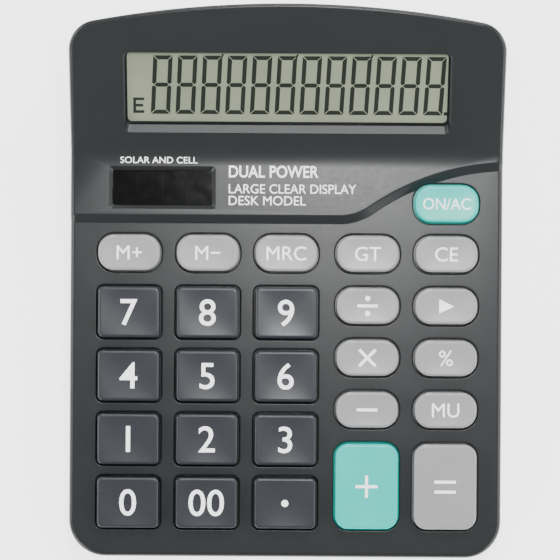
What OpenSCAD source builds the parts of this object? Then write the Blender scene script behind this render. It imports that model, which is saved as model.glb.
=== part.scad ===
// Desktop calculator with a raised, tilted display head, a solar strip and 26 sprung keys.
// Millimetres. Origin at the middle of the underside, +X to the right of a person using it,
// +Y to the back, +Z up. The key deck slopes, so most parts are drawn in a deck frame.

/* [Body] */
// Overall width of the case
body_width = 118; // [98:0.5:142]
// Length of the case measured along the sloping key deck
body_length = 149.7; // [125:0.1:180]
// Height of the front edge of the key deck above the desk
front_height = 11.5; // [10.5:0.1:14]
// Slope of the key deck, in degrees
deck_slope = 4; // [3:0.1:5]
// Wall thickness of both case halves
wall = 2; // [1.7:0.1:2.4]
// Plan radius of the two front corners
front_corner = 10; // [8:0.5:12]
// Plan radius of the two rear corners
rear_corner = 8; // [6.5:0.5:9.5]
// Plan radius of the gently bowed rear edge
rear_bow = 296; // [250:1:355]
// Width of the bevel along the top edges
edge_bevel = 1; // [0.6:0.1:1.1]

/* [Display head] */
// Length of the display head in plan
head_length = 39.1; // [33:0.1:46]
// Tilt of the display face relative to the key deck, in degrees
head_tilt = 22; // [18:0.5:26]
// Thickness of the display face
head_wall = 2.2; // [1.8:0.1:2.6]
// Case left at each side of the display window
window_side = 15; // [13:0.5:18]
// Case left between the fold and the display window
window_low = 7.1; // [6:0.1:8.5]
// Case left between the display window and the rear edge
window_high = 14.2; // [12:0.1:17]
// Depth down the face of the bevel below the display window
window_bevel = 1.7; // [1.2:0.1:2]

/* [Solar strip] */
// Height of the strip above the key deck
band_rise = 1.2; // [1:0.1:1.4]
// Length of the strip between the sloping step and the fold
band_length = 17.3; // [16.6:0.1:20.8]
// Run of the sloping step
band_foot = 2.2; // [1.8:0.1:2.6]
// Where the step starts to curve back, as a share of the half width
curve_start = 0.244; // [0.2:0.01:0.29]
// Radius of the first, outward bend of the step
curve_out = 14.1; // [12:0.1:17]
// Radius of the second, inward bend of the step
curve_in = 67.8; // [60:0.1:80]
// Turn of the step between its two bends, in degrees
curve_turn = 35; // [30:1:40]
// Width of the solar window
solar_width = 27.2; // [23:0.1:32.6]
// Length of the solar window
solar_length = 9.6; // [8:0.1:11.4]

/* [Keys] */
// Gap between neighbouring columns of keys
column_gap = 4.6; // [4.2:0.1:5.5]
// Extra space between the number block and the two right-hand columns
block_gap = 0.8; // [0.6:0.1:1]
// Gap between neighbouring rows of number keys
number_gap = 3.48; // [3.2:0.02:4.2]
// Gap between neighbouring rows of oval keys
oval_gap = 4.43; // [3.9:0.01:5.3]
// Clear deck in front of the first row
front_margin = 8; // [7.6:0.1:9.6]
// Clear deck between the memory keys and the step
rear_margin = 5.5; // [4.6:0.1:6.6]
// Height of a key top above the deck
key_rise = 2.5; // [2.1:0.1:3]
// Key travel
key_travel = 1.3; // [1.1:0.1:1.5]
// Plan radius of the number keys
number_corner = 1.4; // [1.2:0.1:1.7]
// Plan radius of the two tall keys
tall_corner = 3.5; // [3:0.1:4.2]
// Radius of the rim round each key top
key_rim = 0.7; // [0.5:0.05:0.8]
// Wall thickness of a key
key_wall = 1.2; // [1:0.05:1.4]
// Width of the flange that keeps a key in the case
key_flange = 1; // [0.85:0.05:1.1]

/* [Electronics] */
// Thickness of the circuit board
board_t = 1.2; // [1:0.1:1.6]
// Thickness of the keypad sheet
membrane_t = 0.8; // [0.6:0.05:1]
// Height of a keypad dome above its sheet
dome_rise = 2.2; // [1.9:0.1:2.5]
// Thickness of the display window pane
pane_t = 1; // [0.8:0.1:1.2]
// Thickness of the display glass
glass_t = 2.2; // [1.9:0.1:2.6]
// Thickness of the frame that holds the display
retainer_t = 1.5; // [1.2:0.1:1.8]
// Thickness of the solar cell
cell_glass_t = 1.1; // [0.9:0.1:1.3]
// Diameter of the wires
wire_d = 1.2; // [1:0.1:1.4]

/* [Battery] */
// Diameter of the AA cell
battery_d = 14.5; // [14.5:0.1:14.5]
// Length of the AA cell with its nub
battery_l = 50.5; // [50.5:0.1:50.5]
// Length of the battery bay
bay_l = 58; // [57:0.1:62]

/* [Fasteners and feet] */
// Diameter of the case screw heads
case_head = 4.4; // [4:0.1:4.8]
// Diameter of the case screw shanks
case_shank = 2; // [1.8:0.1:2.2]
// Diameter of the small screw shanks
small_shank = 1.6; // [1.4:0.1:1.8]
// Diameter of the rubber feet
foot_d = 8; // [6.7:0.1:9.6]
// Height of the rubber feet below the case
foot_h = 1; // [0.8:0.1:1.2]

/* [Fits] */
// Gap between a key and its opening
key_play = 0.45; // [0.35:0.05:0.5]
// Gap between parts that move past each other
slide_play = 0.3; // [0.25:0.05:0.4]
// Gap between parts that are pushed together
seat_play = 0.15; // [0.1:0.05:0.2]
// Radial gap round a screw shank
screw_play = 0.05; // [0.04:0.01:0.08]

/* [Hidden] */
$fn = 96;

// Colours of the plastics and metals
case_grey = [0.36, 0.37, 0.39];
head_grey = [0.30, 0.31, 0.32];
key_black = [0.09, 0.09, 0.10];
key_grey = [0.66, 0.66, 0.67];
key_teal = [0.30, 0.78, 0.76];
steel = [0.72, 0.73, 0.75];
board_green = [0.10, 0.38, 0.24];
silicone = [0.80, 0.80, 0.78];
red = [0.75, 0.12, 0.10];
black = [0.06, 0.06, 0.07];

// Levels in the deck frame, measured from the deck surface
far = 400;
key_rib = 1.1;
key_root = -wall - slide_play - 0.8;
dome_top = key_root - 0.2;
sheet_top = dome_top - dome_rise;
board_top = sheet_top - membrane_t;
board_low = board_top - board_t;
seam = sheet_top - 0.1;
mating = board_top - 0.2;
screw_seat = mating - wall;
lip_h = 1.5;

// Plan of the case
half_w = body_width / 2;
crease_y = body_length - head_length;
band_edge = crease_y - band_length;
rear_corner_x = half_w - rear_corner;
rear_corner_y = body_length - rear_bow + sqrt(pow(rear_bow - rear_corner, 2) - pow(rear_corner_x, 2));
curve_x = curve_start * half_w;
curve_y = band_edge + curve_out;
inner_x = curve_x + (curve_out + curve_in) * sin(curve_turn);
inner_y = curve_y - (curve_out + curve_in) * cos(curve_turn);

// Display head
head_slope_l = head_length / cos(head_tilt);
window_w = body_width - 2 * window_side;
window_h = head_slope_l - window_low - window_high;
window_mid = window_low + window_h / 2;
lcd_w = window_w + 4;
lcd_h = window_h + 4;
pane_top = -head_wall;
lcd_top = pane_top - pane_t;
reflector_t = 0.3;
reflector_top = lcd_top - glass_t;
retainer_top = reflector_top - reflector_t;
retainer_low = retainer_top - retainer_t;
ear_x = lcd_w / 2 + 3.3;
ear_low = window_mid - lcd_h * 0.3;
ear_high = window_mid + lcd_h * 0.2;

// Case levels in the room frame
floor_t = 1.8;
floor_top = foot_h + floor_t;
deck_rear_z = front_height + body_length * sin(deck_slope);
low_bevel = 0.8;
rear_low_z = (foot_h + low_bevel - deck_rear_z) / cos(deck_slope);
front_most = edge_bevel * sin(deck_slope);
rear_most = body_length * cos(deck_slope) - rear_low_z * sin(deck_slope);
deck_shift = -(front_most + rear_most) / 2;

// Key grid
column_pitch = body_width * 0.18136;
number_w = column_pitch - column_gap;
keypad_top = band_edge - rear_margin;
oval_pitch = (keypad_top - front_margin + oval_gap) * 0.168;
oval_d = oval_pitch - oval_gap;
memory_y = keypad_top - oval_d / 2;
number_pitch = (memory_y - oval_pitch / 2 - 0.5 - front_margin + number_gap / 2) / 4;
number_d = number_pitch - number_gap;
tall_d = memory_y - 3 * oval_pitch - oval_d / 2 - oval_gap - front_margin;
power_y = memory_y + 0.972 * oval_pitch;
oval_corner = 0.44 * oval_d;
dome_d = min(9, oval_d - 1.7);

// Kinds of key, and the keys with their column and row
number = 0;
oval = 1;
tall = 2;
power = 3;
KEYS = [
    ["key_0", number, 0, 0],
    ["key_00", number, 1, 0],
    ["key_dot", number, 2, 0],
    ["key_1", number, 0, 1],
    ["key_2", number, 1, 1],
    ["key_3", number, 2, 1],
    ["key_4", number, 0, 2],
    ["key_5", number, 1, 2],
    ["key_6", number, 2, 2],
    ["key_7", number, 0, 3],
    ["key_8", number, 1, 3],
    ["key_9", number, 2, 3],
    ["key_plus", tall, 3, 0],
    ["key_equals", tall, 4, 0],
    ["key_minus", oval, 3, 3],
    ["key_mu", oval, 4, 3],
    ["key_times", oval, 3, 2],
    ["key_percent", oval, 4, 2],
    ["key_divide", oval, 3, 1],
    ["key_backspace", oval, 4, 1],
    ["key_m_plus", oval, 0, 0],
    ["key_m_minus", oval, 1, 0],
    ["key_mrc", oval, 2, 0],
    ["key_gt", oval, 3, 0],
    ["key_ce", oval, 4, 0],
    ["key_on_ac", power, 4, 0],
];

function key_x(k) = (k[2] - 2) * column_pitch + (k[2] > 2 ? block_gap : 0);
function key_y(k) =
    k[1] == number ? front_margin + number_d / 2 + k[3] * number_pitch :
    k[1] == tall ? front_margin + tall_d / 2 :
    k[1] == power ? power_y :
    memory_y - k[3] * oval_pitch;
function key_w(k) = number_w + (k[1] == tall ? 0.2 : k[1] == power ? 0.3 : 0);
function key_d(k) =
    k[1] == number ? number_d :
    k[1] == tall ? tall_d :
    k[1] == power ? oval_d + 0.3 :
    oval_d;
function key_r(k) = k[1] == number ? number_corner : k[1] == tall ? tall_corner : oval_corner;
function key_colour(k) =
    k[1] == number ? key_black :
    k[0] == "key_plus" || k[1] == power ? key_teal :
    key_grey;
function key_posts(k) = k[1] == tall ? [-tall_d / 4, tall_d / 4] : [0];

// Screws, as places on the deck frame
front_screws = [-1.5 * column_pitch, 1.5 * column_pitch + block_gap];
front_screw_y = wall + 2.9;
side_screw_x = half_w - 6;
mid_screw_y = crease_y - 4.6;
rear_screw_y = rear_corner_y + 1.85;
case_screws_at = [
    [front_screws[0], front_screw_y],
    [front_screws[1], front_screw_y],
    [-side_screw_x, mid_screw_y],
    [side_screw_x, mid_screw_y],
    [-side_screw_x, rear_screw_y],
    [side_screw_x, rear_screw_y],
];
case_boss = case_shank + 3;
case_boss_low = case_head + 3;
board_screw_x = half_w - 3.9;
board_screws_at = [
    [-board_screw_x, front_margin + number_pitch * 2 - number_gap / 2],
    [board_screw_x, memory_y - 2.5 * oval_pitch],
    [-board_screw_x, memory_y - oval_pitch / 2],
    [board_screw_x, memory_y - oval_pitch / 2],
    [-0.37 * column_pitch, band_edge + 4.2],
    [1.15 * column_pitch, band_edge + 3.7],
];
board_boss = small_shank + 2;
board_front = front_margin + 1;
board_rear = mid_screw_y - case_boss_low / 2 - 0.5;
board_half = half_w - wall - 0.5;
rib_x = [-1.5 * column_pitch, -0.5 * column_pitch, 0.5 * column_pitch + block_gap / 2,
    1.5 * column_pitch + block_gap];

// Solar strip
solar_x = -0.288 * body_width;
solar_y = band_edge + 7.4;
solar_depth = 1;
solar_plate_top = -0.8;
solar_plate_t = 0.8;
solar_cell_top = solar_plate_top - solar_plate_t;
solar_cell_low = solar_cell_top - cell_glass_t;

// Battery bay, in the room frame
bay_half = battery_d / 2 + slide_play;
bay_t = 1.5;
bay_end_t = 3.6;
bay_y = deck_shift + (body_length - 13.5) * cos(deck_slope) + 0.75;
bay_z = floor_top + slide_play + battery_d / 2;
bay_top = bay_z + bay_half + bay_t;
contact_t = 0.3;
battery_end = bay_l / 2 - contact_t;
battery_low = battery_end - battery_l;
door_half = bay_l / 2;
door_tongue = 1.8;
door_front = bay_y - bay_half - 3;
ledge_t = 0.85;

// The same bay seen from the deck frame
bay_k_y = (bay_y - deck_shift) * cos(deck_slope) + (bay_top - front_height) * sin(deck_slope);
bay_k_z = (bay_top - front_height) * cos(deck_slope) - (bay_y - deck_shift) * sin(deck_slope);

foot_front_x = half_w - 13;
foot_front_y = deck_shift + 13;
foot_rear_x = half_w - 15;
foot_rear_y = bay_y - 10;
foot_sink = 0.6;
feet_at = [
    [-foot_front_x, foot_front_y],
    [foot_front_x, foot_front_y],
    [-foot_rear_x, foot_rear_y],
    [foot_rear_x, foot_rear_y],
];

// ---- frames ----

module on_deck() {
    translate([0, deck_shift, front_height])
        rotate([deck_slope, 0, 0])
            children();
}

module on_head() {
    on_deck()
        translate([0, crease_y, band_rise])
            rotate([head_tilt, 0, 0])
                children();
}

// Prism along X from a profile drawn as Y across and Z up
module side_prism(w) {
    translate([-w / 2, 0, 0])
        rotate([90, 0, 90])
            linear_extrude(w)
                children();
}

// Prism along Y from a profile drawn as X across and Z up
module front_prism(l) {
    translate([0, l / 2, 0])
        rotate([90, 0, 0])
            linear_extrude(l)
                children();
}

module rrect(w, d, r) {
    square([w - 2 * r, d], center = true);
    square([w, d - 2 * r], center = true);
    for (sx = [-1, 1], sy = [-1, 1])
        translate([sx * (w / 2 - r), sy * (d / 2 - r)])
            circle(r);
}

// The same plan with each corner as a few short flats
module flat_rrect(w, d, r) {
    steps = 6;
    polygon([
        for (q = [0:3], i = [0:steps])
            let (
                sx = q == 0 || q == 3 ? 1 : -1,
                sy = q < 2 ? 1 : -1,
                a = 90 * (q + i / steps)
            )
            [sx * (w / 2 - r) + r * cos(a), sy * (d / 2 - r) + r * sin(a)],
    ]);
}

// Half of a box profile whose outer top corner is rounded
module half_profile(w, h, f) {
    square([w, h - f]);
    square([w - f, h]);
    translate([w - f, h - f])
        circle(f);
}

module full_profile(w, h, f) {
    half_profile(w / 2, h, f);
    mirror([1, 0])
        half_profile(w / 2, h, f);
}

// Block with rounded upright corners and a rounded rim round its top
module rim_block(w, d, h, r, f) {
    front_prism(d - 2 * r)
        full_profile(w, h, f);
    side_prism(w - 2 * r)
        full_profile(d, h, f);
    for (q = [0:3]) {
        sx = q == 0 || q == 3 ? 1 : -1;
        sy = q < 2 ? 1 : -1;
        translate([sx * (w / 2 - r), sy * (d / 2 - r), 0])
            rotate([0, 0, 90 * q])
                rotate_extrude(angle = 90)
                    half_profile(r, h, f);
    }
}

// Round wire through a list of points
module wire_run(points, d) {
    for (i = [0:len(points) - 2]) {
        run = points[i + 1] - points[i];
        l = norm(run);
        translate(points[i])
            rotate([0, acos(run[2] / l), atan2(run[1], run[0])])
                cylinder(h = l, d = d);
    }
    for (i = [1:len(points) - 2])
        translate(points[i])
            sphere(d = d * 1.16);
}

// ---- case ----

// Plan of the case, moved in by an inset
module outline(inset) {
    front_r = front_corner - inset;
    side = half_w - inset;
    translate([-side, front_corner])
        square([2 * side, rear_corner_y - front_corner]);
    translate([front_corner - half_w, inset])
        square([body_width - 2 * front_corner, front_corner]);
    for (s = [-1, 1]) {
        translate([s * (half_w - front_corner), front_corner])
            circle(front_r);
        translate([s * rear_corner_x, rear_corner_y])
            circle(rear_corner - inset);
    }
    intersection() {
        translate([0, body_length - rear_bow])
            circle(rear_bow - inset);
        polygon([
            [-rear_corner_x, rear_corner_y],
            [-1.1 * rear_corner_x, rear_corner_y + 0.1 * (rear_corner_y - body_length + rear_bow)],
            [1.1 * rear_corner_x, rear_corner_y + 0.1 * (rear_corner_y - body_length + rear_bow)],
            [rear_corner_x, rear_corner_y],
        ]);
    }
}

module outline_prism(inset, low, high) {
    translate([0, 0, low])
        linear_extrude(high - low)
            outline(inset);
}

// The raised strip: straight step, outward bend, inward bend
module band() {
    low = -0.5;
    high = band_rise + 1;
    grow = band_foot / band_rise;
    translate([curve_x - far / 2, 0, 0])
        side_prism(far)
            polygon([
                [band_edge - grow * (band_rise - low), low],
                [band_edge + grow, high],
                [far, high],
                [far, low],
            ]);
    translate([curve_x, curve_y, low])
        cylinder(
            h = high - low,
            r1 = curve_out + grow * (band_rise - low),
            r2 = curve_out - grow
        );
    difference() {
        translate([0, 0, low])
            linear_extrude(high - low)
                polygon([
                    [curve_x, curve_y],
                    [inner_x, inner_y],
                    [inner_x + far, inner_y],
                    [inner_x + far, far],
                    [curve_x, far],
                ]);
        translate([inner_x, inner_y, low - 1])
            cylinder(
                h = high - low + 2,
                r1 = curve_in - grow * (band_rise - low + 1),
                r2 = curve_in + grow * 2
            );
    }
}

// What is cut away to lower the key deck below the strip
module deck_cut() {
    difference() {
        translate([-half_w - 5, -5, 0])
            cube([body_width + 10, crease_y + 4, band_rise + 0.5]);
        band();
    }
}

// Bevel cutter along Y at the two sides, for a top surface at Z = 0
module side_bevels(c) {
    for (m = [0, 1])
        mirror([m, 0, 0])
            polygon([
                [half_w - c, 0],
                [half_w - c - 1, 1],
                [half_w + 2, 1],
                [half_w + 2, -c - 2],
            ]);
}

// Bevel cutter round the front of the deck
module front_bevel(c) {
    x = half_w - front_corner;
    side_prism(2 * x)
        polygon([[c, 0], [c + 1, 1], [-2, 1], [-2, -c - 2]]);
    for (s = [-1, 1])
        difference() {
            translate([s > 0 ? x : -x - front_corner - 2, -2, -c])
                cube([front_corner + 2, front_corner + 2, c + 1]);
            translate([s * x, front_corner, -c])
                cylinder(h = c + 1, r1 = front_corner, r2 = front_corner - c - 1);
        }
}

module top_bevels() {
    c = edge_bevel;
    front_bevel(c);
    step_right = inner_y + sqrt(pow(curve_in, 2) - pow(half_w - inner_x, 2)) - band_foot;
    translate([0, (front_corner + band_edge - band_foot) / 2, 0])
        front_prism(band_edge - band_foot - front_corner)
            side_bevels(c);
    translate([0, (step_right + band_edge) / 2 - 4, 0])
        front_prism(step_right - band_edge + 6)
            intersection() {
                side_bevels(c);
                translate([0, -5])
                    square([far, 10]);
            }
    translate([0, crease_y / 2 + 0.1, band_rise])
        front_prism(crease_y + 0.2)
            side_bevels(c * 0.9);
    translate([0, crease_y, band_rise])
        rotate([head_tilt, 0, 0]) {
            translate([0, head_slope_l / 2 + 3, 0])
                front_prism(head_slope_l + 6)
                    side_bevels(c * 0.9);
            difference() {
                translate([-half_w - 5, head_slope_l - 14, -2])
                    cube([body_width + 10, 30, 3]);
                translate([0, head_slope_l - rear_bow * cos(head_tilt), -2])
                    cylinder(
                        h = 3,
                        r1 = rear_bow * cos(head_tilt) - c + 2 * 0.675,
                        r2 = rear_bow * cos(head_tilt) - c - 0.675
                    );
            }
        }
}

// Space below the top surface, as a side view
module top_profile() {
    rise = (far - crease_y) * tan(head_tilt);
    polygon([[-5, -60], [-5, band_rise], [crease_y, band_rise], [far, band_rise + rise], [far, -60]]);
}

module hollow_profile() {
    slope = tan(head_tilt);
    knee = crease_y + (-wall - band_rise + head_wall / cos(head_tilt)) / slope;
    polygon([[-5, -60], [-5, -wall], [knee, -wall], [far, -wall + (far - knee) * slope], [far, -60]]);
}

module upper_block() {
    difference() {
        intersection() {
            outline_prism(0, seam, head_length);
            side_prism(far)
                top_profile();
        }
        deck_cut();
        top_bevels();
    }
}

module upper_hollow() {
    intersection() {
        outline_prism(wall, seam - 1, head_length);
        side_prism(far)
            hollow_profile();
    }
    difference() {
        outline_prism(wall / 2, seam - 1, seam + lip_h + seat_play);
        outline_prism(wall + 0.5, seam - 2, seam + lip_h + 1);
    }
}

module upper_inside() {
    for (p = case_screws_at)
        translate([p[0], p[1], mating])
            cylinder(h = head_length, d = case_boss);
    for (p = board_screws_at)
        translate([p[0], p[1], board_top])
            cylinder(h = wall + dome_rise + 5, d = board_boss);
    for (x = rib_x)
        translate([x - 0.5, front_margin + 3, sheet_top])
            cube([1, memory_y - front_margin, -sheet_top - 1]);
    translate([0, crease_y, band_rise])
        rotate([head_tilt, 0, 0])
            for (s = [-1, 1], y = [ear_low, ear_high])
                translate([s * ear_x, y, retainer_top])
                    cylinder(h = -retainer_top - 1, d = board_boss + 0.4);
}

module window_cut() {
    translate([0, window_mid, -head_wall - 1])
        linear_extrude(head_wall + 2)
            rrect(window_w, window_h, 1.6);
    side_prism(window_w)
        polygon([
            [window_low - window_bevel - 1, 1],
            [window_low - window_bevel, 0],
            [window_low, -head_wall * 0.75],
            [window_low + 1, -head_wall * 0.75],
            [window_low + 1, 1],
        ]);
    translate([0, window_mid, 0])
        intersection() {
            side_prism(body_width)
                polygon([[-far, -0.35], [window_h / 2, -0.35], [window_h / 2 + 1, 0.65], [-far, 0.65]]);
            front_prism(window_h + 2)
                polygon([
                    [-window_w / 2, -0.35],
                    [-window_w / 2 - 1, 0.65],
                    [window_w / 2 + 1, 0.65],
                    [window_w / 2, -0.35],
                ]);
        }
}

module solar_cut() {
    low = band_rise - solar_depth;
    grow = 1.1;
    translate([solar_x, solar_y, -wall - 1])
        linear_extrude(wall + band_rise + 2)
            rrect(solar_width, solar_length, 0.8);
    translate([solar_x, solar_y, low])
        intersection() {
            side_prism(solar_width * 2)
                polygon([
                    [-solar_length / 2, 0],
                    [-solar_length / 2 - grow, solar_depth],
                    [-solar_length / 2 - grow, solar_depth + 1],
                    [solar_length / 2 + grow, solar_depth + 1],
                    [solar_length / 2 + grow, solar_depth],
                    [solar_length / 2, 0],
                ]);
            front_prism(solar_width)
                polygon([
                    [-solar_width / 2, 0],
                    [-solar_width / 2 - grow, solar_depth],
                    [-solar_width / 2 - grow, solar_depth + 1],
                    [solar_width / 2 + grow, solar_depth + 1],
                    [solar_width / 2 + grow, solar_depth],
                    [solar_width / 2, 0],
                ]);
        }
    translate([solar_x, solar_y, -wall - 2])
        linear_extrude(wall + 2 + solar_plate_top)
            rrect(solar_width + 3 + 2 * seat_play, solar_length + 3 + 2 * seat_play, 0.8);
}

module upper_case() {
    color(case_grey)
        on_deck()
            difference() {
                union() {
                    difference() {
                        upper_block();
                        upper_hollow();
                    }
                    intersection() {
                        outline_prism(wall / 2, mating - 1, head_length);
                        side_prism(far)
                            translate([0, -wall / 2])
                                middle_profile();
                        upper_inside();
                    }
                }
                for (k = KEYS)
                    translate([key_x(k), key_y(k), -wall - 1])
                        linear_extrude(wall + 2)
                            flat_rrect(
                                key_w(k) + 2 * key_play,
                                key_d(k) + 2 * key_play,
                                key_r(k) + key_play
                            );
                for (p = case_screws_at)
                    translate([p[0], p[1], mating - 1])
                        cylinder(h = 4.6, r = case_shank / 2 + screw_play);
                for (p = board_screws_at)
                    translate([p[0], p[1], board_top - 1])
                        cylinder(h = 4.5, r = small_shank / 2 + screw_play);
                translate([0, crease_y, band_rise])
                    rotate([head_tilt, 0, 0]) {
                        window_cut();
                        for (s = [-1, 1], y = [ear_low, ear_high])
                            translate([s * ear_x, y, retainer_top - 1])
                                cylinder(h = 4.2, r = small_shank / 2 + screw_play);
                    }
                solar_cut();
            }
}

// Side view that keeps bosses below the middle of the top wall
module middle_profile() {
    slope = tan(head_tilt);
    polygon([
        [-5, -60],
        [-5, 0],
        [crease_y, 0],
        [far, (far - crease_y) * slope],
        [far, -60],
    ]);
}

module lower_block() {
    intersection() {
        on_deck()
            outline_prism(0, -60, seam);
        translate([-far / 2, -far / 2, foot_h])
            cube(far);
        // slanted faces that bevel the lower side edges and the two ends
        front_prism(far)
            polygon([
                [-half_w + low_bevel, foot_h],
                [-half_w, foot_h + low_bevel],
                [-half_w - 1, foot_h + low_bevel + 1],
                [-half_w - 1, far],
                [half_w + 1, far],
                [half_w + 1, foot_h + low_bevel + 1],
                [half_w, foot_h + low_bevel],
                [half_w - low_bevel, foot_h],
            ]);
    }
}

module lower_case() {
    color(case_grey)
        difference() {
            union() {
                difference() {
                    lower_block();
                    intersection() {
                        on_deck()
                            outline_prism(wall, -60, seam + 1);
                        translate([-far / 2, -far / 2, floor_top])
                            cube(far);
                    }
                }
                on_deck()
                    difference() {
                        outline_prism(wall / 2 + seat_play, seam - 0.5, seam + lip_h);
                        outline_prism(wall, seam - 1, seam + lip_h + 1);
                        upper_boss_room();
                    }
                intersection() {
                    translate([-far / 2, -far / 2, foot_h + 0.3])
                        cube(far);
                    on_deck()
                        intersection() {
                            outline_prism(wall / 2, -60, mating);
                            union() {
                                for (p = case_screws_at)
                                    translate([p[0], p[1], -60])
                                        cylinder(h = 60 + mating, d = case_boss_low);
                                for (x = [-0.5, 0.5], y = [number_pitch, memory_y - oval_pitch / 2])
                                    translate([x * column_pitch, y + front_margin, -60])
                                        cylinder(h = 60 + board_low, d = 3);
                            }
                        }
                }
                translate([-bay_l / 2 - bay_end_t, bay_y - bay_half - bay_t, foot_h + 0.3])
                    cube([bay_l + 2 * bay_end_t, 2 * (bay_half + bay_t), bay_top - foot_h - 0.3]);
            }
            translate([-bay_l / 2, bay_y - bay_half, -1])
                cube([bay_l, 2 * bay_half, bay_top - bay_t + 1]);
            for (s = [-1, 1])
                translate([s * (bay_l / 2 - contact_t) - 0.4, bay_y - 2, bay_z])
                    cube([0.8, 4, far]);
            // door opening with a ledge at each side, open at the rear
            translate([-door_half - slide_play, door_front - slide_play, 0])
                cube([2 * (door_half + slide_play), far, floor_top + slide_play]);
            translate([
                -door_half - door_tongue - slide_play,
                door_front - slide_play,
                foot_h + ledge_t,
            ])
                cube([2 * (door_half + door_tongue + slide_play), far, floor_t - ledge_t + slide_play]);
            on_deck()
                for (p = case_screws_at) {
                    translate([p[0], p[1], -60])
                        cylinder(h = 60 + screw_seat, d = case_head + 0.8);
                    translate([p[0], p[1], -60])
                        cylinder(h = 65, d = case_shank + 0.5);
                }
            for (p = feet_at)
                translate([p[0], p[1], 0])
                    cylinder(h = foot_h + foot_sink, d = foot_d + 2 * seat_play);
        }
}

// Space the lip leaves round the upper bosses
module upper_boss_room() {
    for (p = case_screws_at)
        translate([p[0], p[1], seam - 2])
            cylinder(h = 6, d = case_boss + 2 * slide_play);
    for (p = board_screws_at)
        translate([p[0], p[1], seam - 2])
            cylinder(h = 6, d = board_boss + 2 * slide_play);
}

module battery_door() {
    skin_top = floor_top;
    color(case_grey)
        difference() {
            intersection() {
                union() {
                    translate([-door_half, door_front, foot_h])
                        cube([2 * door_half, far / 4, skin_top - foot_h]);
                    translate([-door_half - door_tongue, door_front, foot_h + ledge_t + slide_play])
                        cube([
                            2 * (door_half + door_tongue),
                            far / 4,
                            floor_t - ledge_t - slide_play,
                        ]);
                }
                on_deck()
                    outline_prism(0, -60, 0);
            }
            for (i = [-2:2])
                translate([-6, bay_y - 3 + i * 1.8, foot_h - 1])
                    cube([12, 0.8, 1.4]);
        }
}

// ---- display ----

module display_window() {
    color([0.75, 0.80, 0.78, 0.4])
        on_head()
            translate([0, window_mid, pane_top - pane_t])
                linear_extrude(pane_t)
                    rrect(lcd_w, lcd_h, 1.2);
}

module lcd_panel() {
    color([0.62, 0.64, 0.56])
        on_head()
            translate([0, window_mid, lcd_top - glass_t]) {
                translate([-lcd_w / 2, -lcd_h / 2, 0])
                    cube([lcd_w, lcd_h, glass_t / 2]);
                translate([-lcd_w / 2, -lcd_h / 2 + 2, glass_t / 2])
                    cube([lcd_w, lcd_h - 2, glass_t / 2]);
            }
}

module lcd_reflector() {
    color([0.70, 0.71, 0.68])
        on_head()
            translate([-lcd_w / 2 + 1, window_mid - lcd_h / 2 + 3, retainer_top])
                cube([lcd_w - 2, lcd_h - 4, reflector_t]);
}

module lcd_retainer() {
    color(head_grey)
        on_head()
            translate([0, 0, retainer_low])
                linear_extrude(retainer_t)
                    difference() {
                        union() {
                            translate([0, window_mid + 1])
                                square([lcd_w + 3, lcd_h + 1], center = true);
                            for (s = [-1, 1], y = [ear_low, ear_high])
                                translate([s * ear_x, y])
                                    circle(board_boss / 2 + 0.3);
                            for (s = [-1, 1], y = [ear_low, ear_high])
                                translate([s * (ear_x - 1.5), y])
                                    square([3, board_boss + 0.6], center = true);
                        }
                        for (i = [-1:1])
                            translate([i * lcd_w / 3, window_mid + 1])
                                rrect(lcd_w / 3 - 5, lcd_h * 0.5, 2);
                        for (s = [-1, 1], y = [ear_low, ear_high])
                            translate([s * ear_x, y])
                                circle(small_shank / 2 + screw_play);
                    }
}

module lcd_ribbon() {
    edge_y = window_mid - lcd_h / 2 - 0.2;
    ribbon_w = min(lcd_w * 0.86, 2 * (key_x(["", oval, 4, 0]) - number_w / 2 - 2));
    face = lcd_top - glass_t / 2;
    c = cos(head_tilt);
    s = sin(head_tilt);
    start = [crease_y + edge_y * c - face * s, band_rise + edge_y * s + face * c];
    start_out = [start[0] + 1.8 * c, start[1] + 1.8 * s];
    turn_y = crease_y + edge_y * c - face * s - 3;
    end_y = board_rear - 2;
    color([0.78, 0.52, 0.20])
        on_deck()
            side_prism(ribbon_w)
                polygon([
                    start_out,
                    start,
                    [turn_y, board_top + 2.2],
                    [board_rear + 1, board_top],
                    [end_y, board_top],
                    [end_y, board_top + 0.25],
                    [board_rear + 0.9, board_top + 0.25],
                    [turn_y - 0.2, board_top + 2.5],
                    [start[0] - 0.1, start[1] + 0.27],
                    [start_out[0] - 0.25 * s, start_out[1] + 0.25 * c],
                ]);
}

module small_screw(l) {
    translate([0, 0, -1.1])
        difference() {
            cylinder(h = 1.1, d = small_shank + 1.6);
            translate([0, 0, -0.5])
                for (a = [0, 90])
                    rotate([0, 0, a])
                        translate([-0.9, -0.2, 0])
                            cube([1.8, 0.4, 1]);
        }
    cylinder(h = l, d = small_shank);
}

module retainer_screws() {
    color(steel)
        on_head()
            for (s = [-1, 1], y = [ear_low, ear_high])
                translate([s * ear_x, y, retainer_low])
                    small_screw(retainer_t + 2.8);
}

// ---- solar ----

module solar_window() {
    color([0.12, 0.12, 0.14, 0.6])
        on_deck()
            translate([solar_x, solar_y, solar_cell_top]) {
                linear_extrude(solar_plate_t)
                    rrect(solar_width + 3, solar_length + 3, 0.8);
                linear_extrude(band_rise - solar_depth - solar_cell_top)
                    rrect(solar_width - 2 * seat_play, solar_length - 2 * seat_play, 0.7);
            }
}

module solar_cell() {
    color([0.07, 0.05, 0.06])
        on_deck()
            translate([
                solar_x - solar_width / 2 - 1.4,
                solar_y - solar_length / 2 - 1.2,
                solar_cell_low,
            ])
                cube([solar_width + 2.8, solar_length + 2.4, cell_glass_t]);
}

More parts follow.
